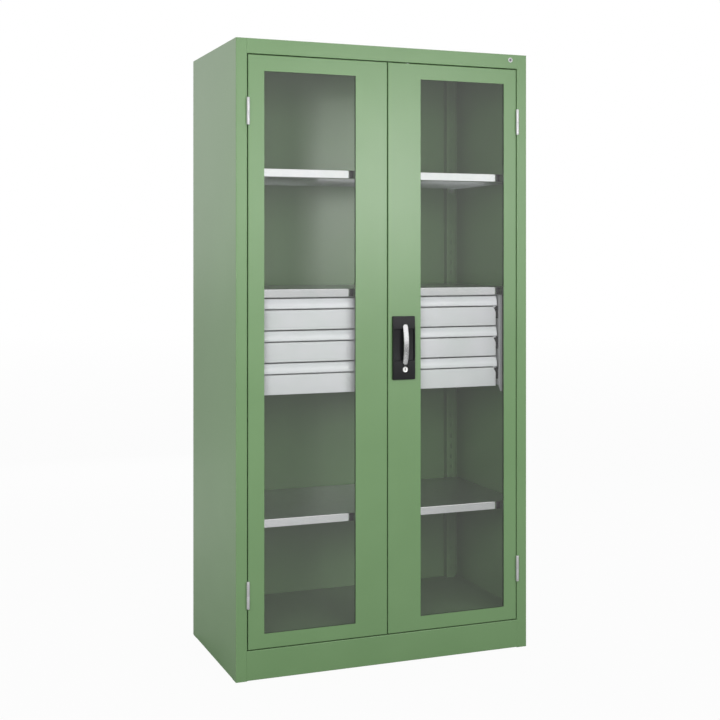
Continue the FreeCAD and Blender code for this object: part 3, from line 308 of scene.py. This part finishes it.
def sharpEdges(bm, degrees):
    return [e for e in bm.edges
            if len(e.link_faces) == 2 and e.calc_face_angle() > math.radians(degrees)]


def pushed(bm, outline, move):
    # a flat outline of points in millimetres, pushed along a move into a solid
    face = bm.faces.new([bm.verts.new([c * mm for c in point]) for point in outline])
    made = bmesh.ops.extrude_face_region(bm, geom=[face])["geom"]
    bmesh.ops.translate(bm, verts=vertsIn(made), vec=[c * mm for c in move])


def turned(bm, profile, centre, closed=False, steps=40):
    # a shape turned round an upright axis from (radius, place along the axis) points in millimetres
    before = set(bm.verts)
    points = [bm.verts.new((radius * mm, 0, along * mm)) for radius, along in profile]
    pairs = list(zip(points, points[1:] + points[:1]))
    edges = [bm.edges.new(pair) for pair in (pairs if closed else pairs[:-1])]
    bmesh.ops.spin(bm, geom=points + edges, cent=(0, 0, 0), axis=(0, 0, 1), dvec=(0, 0, 0),
                   angle=math.tau, steps=steps, use_merge=True, use_normal_flip=False,
                   use_duplicate=False)
    made = [v for v in bm.verts if v not in before]
    bmesh.ops.remove_doubles(bm, verts=made, dist=1e-6)
    made = [v for v in bm.verts if v not in before]
    bmesh.ops.transform(bm, matrix=Matrix.Translation(Vector(centre) * mm), verts=made)
    return made


def turnedFacingFront(bm, profile, centre, closed=False, steps=48):
    # the same, with its axis running from the front at centre straight back
    made = turned(bm, profile, (0, 0, 0), closed, steps)
    place = Matrix.Translation(Vector(centre) * mm) @ Matrix.Rotation(math.radians(-90), 4, "X")
    bmesh.ops.transform(bm, matrix=place, verts=made)


def finishPiece(name, bm, body, slotName, replaced):
    bmesh.ops.recalc_face_normals(bm, faces=bm.faces)
    mesh = bpy.data.meshes.new(name)
    bm.to_mesh(mesh)
    bm.free()
    mesh.materials.append(finishes[slotName])
    mesh.shade_smooth()
    mesh.set_sharp_from_angle(angle=math.radians(smoothDegrees))
    piece = bpy.data.objects.new(name, mesh)
    scene.collection.objects.link(piece)
    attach(piece, body)
    if replaced:
        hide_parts(*replaced)
    return piece


# the front of the carcass and the middle of the handle, in millimetres
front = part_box("plinth_panel")[0].y / mm
handleX = (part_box("handle_bow")[0].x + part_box("handle_bow")[1].x) / 2 / mm


# Lock plate with its finger recess, bow handle, key cylinder and plug

def lockPlate():
    plate = {"corner": 8.5, "cornerSteps": 8, "rimRound": 1.1, "topSlope": 3.2,
             "recessRim": 2.7, "recessLow": 59, "recessHigh": 161, "recessDeep": 6.3,
             "floorScale": (0.97, 1, 0.985), "floorRound": 2.0}
    low, high = (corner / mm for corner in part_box("lock_plate"))
    bm = bmesh.new()
    boxIn(bm, low, high)
    for x in (low.x + plate["recessRim"], high.x - plate["recessRim"]):
        sliced(bm, Vector((x, 0, 0)) * mm, (1, 0, 0))
    for z in (low.z + plate["recessLow"], low.z + plate["recessHigh"]):
        sliced(bm, Vector((0, 0, z)) * mm, (0, 0, 1))
    # the top pad leans back, so its top edge is thinner
    for v in bm.verts:
        if v.co.z > (high.z - 1) * mm and v.co.y < (low.y + 1) * mm:
            v.co.y += plate["topSlope"] * mm
    corners = [e for e in bm.edges if abs((e.verts[0].co - e.verts[1].co).normalized().y) > 0.99
               and all(min(v.co.x / mm - low.x, high.x - v.co.x / mm) < 0.1 for v in e.verts)
               and all(min(v.co.z / mm - low.z, high.z - v.co.z / mm) < 0.1 for v in e.verts)]
    bevelled(bm, corners, plate["corner"], plate["cornerSteps"])
    bm.faces.ensure_lookup_table()
    middleZ = low.z + (plate["recessLow"] + plate["recessHigh"]) / 2
    centre = Vector(((low.x + high.x) / 2, low.y, middleZ)) * mm
    floor = min(bm.faces, key=lambda f: (f.calc_center_median() - centre).length)
    sunk = bmesh.ops.extrude_discrete_faces(bm, faces=[floor])["faces"][0]
    bmesh.ops.translate(bm, verts=sunk.verts, vec=(0, plate["recessDeep"] * mm, 0))
    bmesh.ops.scale(bm, verts=sunk.verts, vec=plate["floorScale"],
                    space=Matrix.Translation(-sunk.calc_center_median()))
    bevelled(bm, list(sunk.edges), plate["floorRound"], 4)
    rims = [e for e in sharpEdges(bm, 50) if all(v.co.y < (high.y - 2) * mm for v in e.verts)]
    bevelled(bm, rims, plate["rimRound"])
    finishPiece("lockPlateCover", bm, "right_door", "black_plastic", ["lock_plate"])


def bowHandle():
    # a ball is parted in the middle, drawn out to a bar, halved, flattened and bent forward
    bow = {"thick": 7, "rise": 7.9, "bends": 24, "seam": 0.01, "edgeRound": 0.8}
    low, high = (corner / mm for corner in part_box("handle_bow"))
    radius = (high.x - low.x) / 2
    half = (high.z - low.z) / 2 - radius
    bm = bmesh.new()
    bmesh.ops.create_uvsphere(bm, u_segments=40, v_segments=20, radius=radius * mm)
    for level in (bow["seam"], -bow["seam"]):
        sliced(bm, (0, 0, level * mm), (0, 0, 1))
    for v in bm.verts:
        if abs(v.co.z) > bow["seam"] / 2 * mm:
            v.co.z += math.copysign(half * mm, v.co.z)
    for i in range(1, bow["bends"]):
        sliced(bm, (0, 0, half * mm * (2 * i / bow["bends"] - 1)), (0, 0, 1))
    sliced(bm, (0, 0, 0), (0, 1, 0), clear_outer=True)
    bmesh.ops.edgeloop_fill(bm, edges=[e for e in bm.edges if e.is_boundary])
    for v in bm.verts:
        v.co.y *= bow["thick"] / radius
    bevelled(bm, sharpEdges(bm, 60), bow["edgeRound"])
    for v in bm.verts:
        v.co.y -= bow["rise"] * mm * max(0, 1 - (v.co.z / (half * mm)) ** 2)
    bmesh.ops.translate(bm, verts=bm.verts, vec=Vector((handleX, high.y, (low.z + high.z) / 2)) * mm)
    return finishPiece("bowHandle", bm, "handle", "silver_handle", ["handle_bow"])


def keyLock():
    # a bright cylinder with a raised rim, and its plug with an upright keyhole and the cam behind
    lock = {"bore": 5.56, "rim": 1.3, "rimRound": 0.5, "sunk": 0.15, "steps": 56, "plug": 5.5,
            "keyWide": 2.2, "keyTall": 8, "keyDeep": 0.8, "camThick": 2, "camRound": 3}
    low, high = (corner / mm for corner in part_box("key_cylinder"))
    radius = (high.x - low.x) / 2
    deep = high.y - low.y
    middle = (handleX, low.y, (low.z + high.z) / 2)
    bm = bmesh.new()
    inner = radius - lock["rim"]
    turnedFacingFront(bm, [
        (lock["bore"], lock["sunk"]), (inner, lock["sunk"]), (inner + lock["rimRound"], 0),
        (radius - lock["rimRound"], 0), (radius, lock["rimRound"]), (radius, deep),
        (lock["bore"], deep)], middle, closed=True, steps=lock["steps"])
    finishPiece("lockCylinder", bm, "right_door", "nickel_plate", ["key_cylinder"])

    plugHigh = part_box("key_plug")[1] / mm
    plugLength = plugHigh.y - low.y - lock["camThick"]
    x, z = lock["keyWide"] / 2, lock["keyTall"] / 2
    bm = bmesh.new()
    outline = [Vector((math.cos(turn), 0, math.sin(turn))) * lock["plug"]
               for turn in (math.tau * i / lock["steps"] for i in range(lock["steps"]))]
    rim = [bm.verts.new((v + Vector((0, lock["sunk"], 0))) * mm) for v in outline]
    hole = [bm.verts.new(Vector(point) * mm) for point in (
        (x, lock["sunk"], -z), (x, lock["sunk"], z), (-x, lock["sunk"], z), (-x, lock["sunk"], -z))]
    edges = [bm.edges.new(pair) for ring in (rim, hole) for pair in zip(ring, ring[1:] + ring[:1])]
    bmesh.ops.triangle_fill(bm, use_beauty=True, use_dissolve=False, edges=edges)
    # the side of the plug and the walls of the keyhole run back from the face, and are closed there
    for ring, depth in ((rim, plugLength - lock["sunk"]), (hole, lock["keyDeep"] * plugLength)):
        around = [e for e in bm.edges if e.verts[0] in ring and e.verts[1] in ring
                  and len(e.link_faces) == 1]
        moved = bmesh.ops.extrude_edge_only(bm, edges=around)["geom"]
        verts = vertsIn(moved)
        bmesh.ops.translate(bm, verts=verts, vec=(0, depth * mm, 0))
        bmesh.ops.edgeloop_fill(bm, edges=[e for e in edgesIn(moved)
                                           if e.verts[0] in verts and e.verts[1] in verts])
    centre = Vector(middle) * mm
    bmesh.ops.translate(bm, verts=bm.verts, vec=centre)
    cam = boxIn(bm, (handleX - lock["plug"], plugHigh.y - lock["camThick"], centre.z / mm - lock["plug"]),
                (plugHigh.x, plugHigh.y, centre.z / mm + lock["plug"]))
    camCorners = [e for e in {e for v in cam for e in v.link_edges}
                  if abs(e.verts[0].co.y - e.verts[1].co.y) > 0.5 * mm]
    bevelled(bm, camCorners, lock["camRound"], 4)
    finishPiece("lockPlug", bm, "key", "nickel_plate", ["key_plug"])


lockPlate()
bow = bowHandle()
keyLock()

print("lock pieces ready")


# Hinge barrels with rounded ends, a fine split between the halves, and their pins

def hingeBarrels():
    hinge = {"radius": 5, "bore": 3.05, "round": 2.0, "splitRound": 0.5, "roundSteps": 4,
             "fixedLong": 41, "short": 1.6, "leafFrom": 3.7, "leafRound": 0.3,
             "pinRadius": 3, "pinTip": 2.2, "pinChamfer": 0.8, "pinSteps": 28}
    leaves = {"frame": (0.3, 1.5), "door": (-1.5, -0.3)}  # their two faces, outwards from the axis
    axisY = (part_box("hinge_pins")[0].y + hinge["pinRadius"] * mm) / mm

    def barrelProfile(low, high, lowRound, highRound):
        points = [(hinge["bore"], low), (hinge["radius"] - lowRound, low)]
        turns = [math.radians(90 * i / hinge["roundSteps"]) for i in range(hinge["roundSteps"] + 1)]
        for turn in turns[1:]:
            points.append((hinge["radius"] - lowRound * (1 - math.sin(turn)),
                           low + lowRound * (1 - math.cos(turn))))
        for turn in turns:
            points.append((hinge["radius"] - highRound * (1 - math.cos(turn)),
                           high - highRound * (1 - math.sin(turn))))
        points.append((hinge["bore"], high))
        return points

    fixedLow, fixedHigh = (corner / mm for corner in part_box("frame_hinge_knuckles"))
    movingLow, movingHigh = (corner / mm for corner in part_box("right_hinge_knuckles"))
    hingeX = movingLow.x + hinge["radius"]
    upperLow = fixedHigh.z - hinge["fixedLong"]
    long = movingHigh.z - upperLow
    gap = movingLow.z - fixedLow.z - hinge["fixedLong"]
    pieces = (("frameHingeBarrels", "carcass", "frame_hinge_knuckles", (1, -1), "frame"),
              ("rightHingeBarrels", "right_door", "right_hinge_knuckles", (1,), "door"),
              ("leftHingeBarrels", "left_door", "left_hinge_knuckles", (-1,), "door"))
    for name, body, nodeName, sides, kind in pieces:
        bm = bmesh.new()
        for side in sides:
            for bottom in (fixedLow.z, upperLow):
                if kind == "frame":
                    low, high = bottom + hinge["short"], bottom + hinge["fixedLong"]
                    rounds = (hinge["round"], hinge["splitRound"])
                else:
                    low, high = bottom + hinge["fixedLong"] + gap, bottom + long - hinge["short"]
                    rounds = (hinge["splitRound"], hinge["round"])
                turned(bm, barrelProfile(low, high, *rounds), (side * hingeX, axisY, 0), closed=True)
                xs = sorted(side * (hingeX + x) for x in leaves[kind])
                leaf = boxIn(bm, (xs[0], axisY + hinge["leafFrom"], low), (xs[1], movingHigh.y, high))
                bevelled(bm, list({e for v in leaf for e in v.link_edges}), hinge["leafRound"], 2)
        finishPiece(name, bm, body, "hinge_zinc", [nodeName])
    bm = bmesh.new()
    for side in (1, -1):
        for bottom in (fixedLow.z, upperLow):
            low, high = bottom + hinge["short"], bottom + long - hinge["short"]
            profile = [(0, low), (hinge["pinTip"], low),
                       (hinge["pinRadius"], low + hinge["pinChamfer"]),
                       (hinge["pinRadius"], high - hinge["pinChamfer"]), (hinge["pinTip"], high), (0, high)]
            turned(bm, profile, (side * hingeX, axisY, 0), steps=hinge["pinSteps"])
    finishPiece("hingePins", bm, "carcass", "bright_zinc", ["hinge_pins"])


hingeBarrels()

print("hinges ready")


# Drawer fronts, grip strips and trays, the round badge, the housing's side plates and the welds

def drawerFront(number):
    # a sheet front with cut top corners and a rolled bottom edge
    sheet = {"slot": 3, "cutWide": 9, "cutTall": 20, "rollDeep": 1.1, "rollTall": 2.6, "rollSteps": 5,
             "topChamfer": 0.5, "edgeRound": 0.35}
    low, high = (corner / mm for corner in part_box(f"drawer_{number}_front"))
    cutFrom = high.z - sheet["cutTall"]
    high.z -= sheet["slot"]  # the front stops short of the grip, with a slot between them
    profile = [(high.y, high.z), (high.y, low.z)]
    for i in range(sheet["rollSteps"] + 1):
        turn = math.radians(90 * i / sheet["rollSteps"])
        profile.append((low.y + sheet["rollDeep"] * (1 - math.sin(turn)),
                        low.z + sheet["rollTall"] * (1 - math.cos(turn))))
    profile += [(low.y, high.z - sheet["topChamfer"]), (low.y + sheet["topChamfer"], high.z)]
    bm = bmesh.new()
    pushed(bm, [(low.x, y, z) for y, z in profile], (high.x - low.x, 0, 0))
    for side, end in ((1, high.x), (-1, low.x)):
        slope = Vector((side * (high.z - cutFrom), 0, sheet["cutWide"])).normalized()
        cut = sliced(bm, Vector((end, 0, cutFrom)) * mm, slope, clear_outer=True)
        bmesh.ops.edgeloop_fill(bm, edges=edgesIn(cut))
    rims = [e for e in sharpEdges(bm, 60) if all(v.co.y < (low.y + 0.2) * mm for v in e.verts)]
    bevelled(bm, rims, sheet["edgeRound"], 2)
    finishPiece(f"drawer{number}Front", bm, f"drawer_{number}", "grey_paint",
                [f"drawer_{number}_front"])


def drawerGrip(number):
    # a strip that bulges forward to a rolled lip, with the finger space behind it
    grip = {"reach": 8.4, "start": 0.3, "wall": 1.3, "wallDrop": 0.6, "roll": 1.3, "rollSteps": 8,
            "steps": 14, "crowded": 1.6, "bulge": 0.8, "slot": 1.2,
            "leaf": 0.4, "leafUp": 5, "tabLong": 8, "tabDown": 3.5}
    low, high = (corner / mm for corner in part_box(f"drawer_{number}_grip"))
    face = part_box(f"drawer_{number}_front")[0].y / mm
    lip = low.z + grip["slot"]
    tall = high.z - lip - grip["roll"]
    outer = []
    for i in range(grip["steps"] + 1):
        down = (i / grip["steps"]) ** grip["crowded"]
        out = (1 - (1 - down) ** 2) ** grip["bulge"]
        outer.append((face - grip["start"] - (grip["reach"] - grip["start"]) * out, high.z - tall * down))
    rolled = []
    for i in range(1, grip["rollSteps"] + 1):
        turn = math.radians(180 * i / grip["rollSteps"])
        rolled.append((face - grip["reach"] + grip["roll"] * (1 - math.cos(turn)),
                       lip + grip["roll"] * (1 - math.sin(turn))))
    inner = []
    for y, z in reversed(outer):
        behind = (y + grip["wall"], z - grip["wallDrop"])
        if behind[0] < face - grip["start"] and behind[1] > lip + grip["roll"]:
            inner.append(behind)
    leafFace = high.y - grip["leaf"]
    leafLow = low.z + grip["leafUp"]
    profile = [(high.y, leafLow), (high.y, high.z)] + outer + rolled + inner
    profile += [(leafFace, inner[-1][1]), (leafFace, leafLow)]
    bm = bmesh.new()
    pushed(bm, [(low.x, y, z) for y, z in profile], (high.x - low.x, 0, 0))
    # its leaf reaches down behind the front only near the two ends
    for start in (low.x, high.x - grip["tabLong"]):
        boxIn(bm, (start, leafFace, low.z - grip["tabDown"]),
              (start + grip["tabLong"], high.y, leafLow + 1))
    finishPiece(f"drawer{number}Grip", bm, f"drawer_{number}", "grip_grey",
                [f"drawer_{number}_grip"])


def drawerTray(number):
    # a folded tray whose front side is closed by the drawer front, with the finger slot open above it
    tray = {"wall": 1}
    low, high = (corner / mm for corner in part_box(f"drawer_{number}_tray"))
    inside = (high.y - tray["wall"], low.z + tray["wall"])
    profile = [(low.y, low.z), (high.y, low.z), (high.y, high.z), (inside[0], high.z), inside,
               (low.y, inside[1])]
    bm = bmesh.new()
    pushed(bm, [(low.x, y, z) for y, z in profile], (high.x - low.x, 0, 0))
    for start in (low.x, high.x - tray["wall"]):
        boxIn(bm, (start, low.y, inside[1]), (start + tray["wall"], inside[0], high.z))
    finishPiece(f"drawer{number}Tray", bm, f"drawer_{number}", "grey_paint",
                [f"drawer_{number}_tray"])


def plainBadge():
    # a bare turned disc with a raised ring and a slightly domed middle
    disc = {"ring": 1.2, "step": 0.25, "dome": 0.35, "domeBend": 0.6, "domeInset": 0.2, "groove": 0.1,
            "ringSlope": 0.3, "edge": 0.35, "steps": 48}
    low, high = (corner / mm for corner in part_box("badge"))
    radius = (high.x - low.x) / 2
    thick = high.y - low.y
    inside = radius - disc["ring"]
    profile = [(0, disc["step"]),
               (inside * disc["domeBend"], disc["step"] + disc["dome"] * disc["domeBend"] ** 2),
               (inside - disc["domeInset"], disc["step"] + disc["dome"]), (inside, disc["groove"]),
               (inside + disc["ringSlope"], 0), (radius - disc["edge"], 0), (radius, disc["edge"]),
               (radius, thick), (0, thick)]
    bm = bmesh.new()
    turnedFacingFront(bm, profile, ((low.x + high.x) / 2, low.y, (low.z + high.z) / 2),
                      steps=disc["steps"])
    return finishPiece("plainBadge", bm, "carcass", "badge_aluminium", ["badge"])


def housingPlates():
    # folded side plates: the wall ends behind the lowest drawer, and the front fold runs on to a point
    plate = {"wall": 1.2, "low": 862, "tip": 841, "tipWide": 6, "foldWide": 12}
    low, high = (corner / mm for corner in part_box("right_housing_plate"))
    behind = low.y + plate["wall"]
    foldEnd = low.x + plate["foldWide"]
    fold = [(low.x, high.z), (low.x, plate["low"]), (low.x + plate["tipWide"], plate["tip"]),
            (foldEnd, plate["tip"]), (foldEnd, high.z)]
    for side, nodeName in (("right", "right_housing_plate"), ("left", "left_housing_plate")):
        bm = bmesh.new()
        pushed(bm, [(x, low.y, z) for x, z in fold], (0, plate["wall"], 0))
        boxIn(bm, (low.x, behind, plate["low"]), (low.x + plate["wall"], high.y, high.z))
        boxIn(bm, (low.x + plate["wall"], behind, high.z - plate["wall"]), high)
        if side == "left":
            bmesh.ops.scale(bm, verts=bm.verts, vec=(-1, 1, 1))
        finishPiece(side + "HousingPlate", bm, "carcass", "grey_paint", [nodeName])


def railWelds():
    # the seams beside the top rail and the plinth are welded, ground flush and painted over
    weld = {"inwards": 1.4, "outwards": 0.6, "sunk": 0.05, "deep": 1,
            "railEnds": (0.6, 1.3), "plinthEnds": (0.3, 0.6)}
    rail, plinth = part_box("top_cap"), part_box("plinth_panel")
    spans = [(box[0].z / mm + ends[0], box[1].z / mm - ends[1])
             for box, ends in ((rail, weld["railEnds"]), (plinth, weld["plinthEnds"]))]
    seam = -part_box("left_side_panel")[1].x / mm
    bm = bmesh.new()
    for side in (1, -1):
        xs = sorted((side * (seam - weld["inwards"]), side * (seam + weld["outwards"])))
        for low, high in spans:
            boxIn(bm, (xs[0], front + weld["sunk"], low), (xs[1], front + weld["deep"], high))
    finishPiece("railWelds", bm, "carcass", "green_paint", [])


for number in (1, 2, 3):
    drawerFront(number)
    drawerGrip(number)
    drawerTray(number)
badge = plainBadge()
housingPlates()
railWelds()

print("drawers and badge ready")


# Camera, floor, lamps and room

def camera():
    # fitted to the cabinet's edges; it looks level, and the shift frames the cabinet as in the photograph
    view = {"lens": 61.038, "shift": (0.0699, -0.1483),
            "place": (-1.5679, -3.77195, 1.2975), "turn": -20.27}
    data = bpy.data.cameras.new("camera")
    data.sensor_width = 36
    data.lens = view["lens"]
    data.shift_x, data.shift_y = view["shift"]
    data.clip_start = 0.05
    data.clip_end = 200
    eye = bpy.data.objects.new("camera", data)
    eye.location = view["place"]
    eye.rotation_euler = (math.radians(90), 0, math.radians(view["turn"]))
    scene.collection.objects.link(eye)
    scene.camera = eye


def seenDirectly(tree, direct, inMirrors):
    # how much of its white the camera and glass see, and how much mirrors see; 0 for the light that
    # falls on the cabinet
    path = addNode(tree, "ShaderNodeLightPath").outputs
    mirror = addNode(tree, "ShaderNodeMath", {
        0: path["Is Glossy Ray"], 1: inMirrors}, operation="MULTIPLY").outputs["Value"]
    first = addNode(tree, "ShaderNodeMath", {
        0: path["Is Camera Ray"], 1: path["Is Transmission Ray"]}, operation="MAXIMUM").outputs["Value"]
    shown = addNode(tree, "ShaderNodeMath", {0: first, 1: direct}, operation="MULTIPLY").outputs["Value"]
    return addNode(tree, "ShaderNodeMath", {0: shown, 1: mirror}, operation="MAXIMUM").outputs["Value"]


def studioFloor():
    # matt and pale round the cabinet, and fading into the white of the room further out
    studio = {"colour": "#A4A4A4", "nearWhite": 0.96, "nearMirrored": 0.0, "farMirrored": 0.42,
              "behindMirrored": 0.39, "behindFrom": 0.4, "behindTo": 2.0, "fadeFrom": 2.5, "fadeTo": 16,
              "size": 60}
    floorMaterial, tree, place = newMaterial("paleStudioFloor")
    matt = addNode(tree, "ShaderNodeBsdfDiffuse", {"Color": linear(studio["colour"])}).outputs["BSDF"]
    white = addNode(tree, "ShaderNodeEmission", {
        "Color": (1, 1, 1, 1), "Strength": 1.0}).outputs["Emission"]
    away = addNode(tree, "ShaderNodeVectorMath", {0: place}, operation="LENGTH").outputs["Value"]
    shown, mirrored = (addNode(tree, "ShaderNodeMapRange", {
        "Value": away, "From Min": studio["fadeFrom"], "From Max": studio["fadeTo"],
        "To Min": near, "To Max": far}).outputs["Result"]
        for near, far in ((studio["nearWhite"], 1), (studio["nearMirrored"], studio["farMirrored"])))
    depth = addNode(tree, "ShaderNodeSeparateXYZ", {"Vector": place}).outputs["Y"]
    behind = addNode(tree, "ShaderNodeMapRange", {
        "Value": depth, "From Min": studio["behindFrom"], "From Max": studio["behindTo"],
        "To Max": studio["behindMirrored"]}).outputs["Result"]
    inMirrors = addNode(tree, "ShaderNodeMath", {
        0: mirrored, 1: behind}, operation="MAXIMUM").outputs["Value"]
    both = addNode(tree, "ShaderNodeMixShader", {
        0: seenDirectly(tree, shown, inMirrors), 1: matt, 2: white}).outputs["Shader"]
    addNode(tree, "ShaderNodeOutputMaterial", {"Surface": both})
    bm = bmesh.new()
    bmesh.ops.create_grid(bm, x_segments=4, y_segments=4, size=studio["size"])
    mesh = bpy.data.meshes.new("studioFloor")
    bm.to_mesh(mesh)
    bm.free()
    mesh.materials.append(floorMaterial)
    floor = bpy.data.objects.new("studioFloor", mesh)
    scene.collection.objects.link(floor)


def room():
    # white to the eye, with only part of that white as light on matt surfaces
    light = 0.36
    world = bpy.data.worlds.new("whiteStudio")
    scene.world = world
    world.use_nodes = True
    tree = world.node_tree
    tree.nodes.clear()
    colour = blended(tree, seenDirectly(tree, 1.0, 1.0), (light, light, light, 1), (1, 1, 1, 1))
    back = addNode(tree, "ShaderNodeBackground", {"Color": colour}).outputs["Background"]
    addNode(tree, "ShaderNodeOutputWorld", {"Surface": back})


def softbox(name, place, target, width, height, watts, spared=None):
    # a lamp shows in mirrors only where it spares the pieces that would mirror it as a white patch
    data = bpy.data.lights.new(name, "AREA")
    data.shape = "RECTANGLE"
    data.size = width
    data.size_y = height
    data.energy = watts
    lamp = bpy.data.objects.new(name, data)
    lamp.location = place
    lamp.rotation_euler = (Vector(target) - Vector(place)).to_track_quat("-Z", "Y").to_euler()
    lamp.visible_camera = False
    lamp.visible_glossy = bool(spared)
    scene.collection.objects.link(lamp)
    if spared:
        others = bpy.data.collections.new(name + "Spared")
        for piece in spared:
            others.objects.link(piece)
        lamp.light_linking.receiver_collection = others
        for entry in others.collection_objects:
            entry.light_linking.link_state = "EXCLUDE"


camera()
studioFloor()
room()
# the acrylic, the shelves, the bow and the badge show the white room, not the key lamp
mirrors = [frame["nodes"][name] for name, slotName in slotOfNode.items()
           if slotName in ("clear_acrylic", "galvanised_sheet")] + [bow, badge]
softbox("leftFrontSoftbox", (-1.9, -2.7, 1.8), (0, 0, 1.15), 1.2, 1.6, 46)
softbox("middleSoftbox", (0, -3.2, 1.7), (0, 0, 1.1), 0.9, 1.3, 38)
softbox("rightFrontSoftbox", (1.4, -2.9, 1.6), (0, 0, 1.2), 1.0, 1.6, 9)
softbox("keyLamp", (1.3, -3.24, 1.7), (0, 0, 1.4), 0.7, 0.7, 22, mirrors)
softbox("leftSoftbox", (-3.2, 0.2, 1.1), (-0.5, 0, 0.9), 2.0, 2.0, 31)
softbox("rightSoftbox", (3.4, 0.4, 1.2), (0.5, 0, 0.9), 2.0, 2.0, 34)
softbox("backSoftbox", (0.2, 3.8, 1.4), (0, 0.26, 1.0), 2.4, 2.0, 60)
softbox("topSoftbox", (0, 1.1, 3.3), (0, 0, 1.95), 0.9, 0.9, 20)

scene.view_settings.view_transform = "Standard"

print("camera and lights ready")
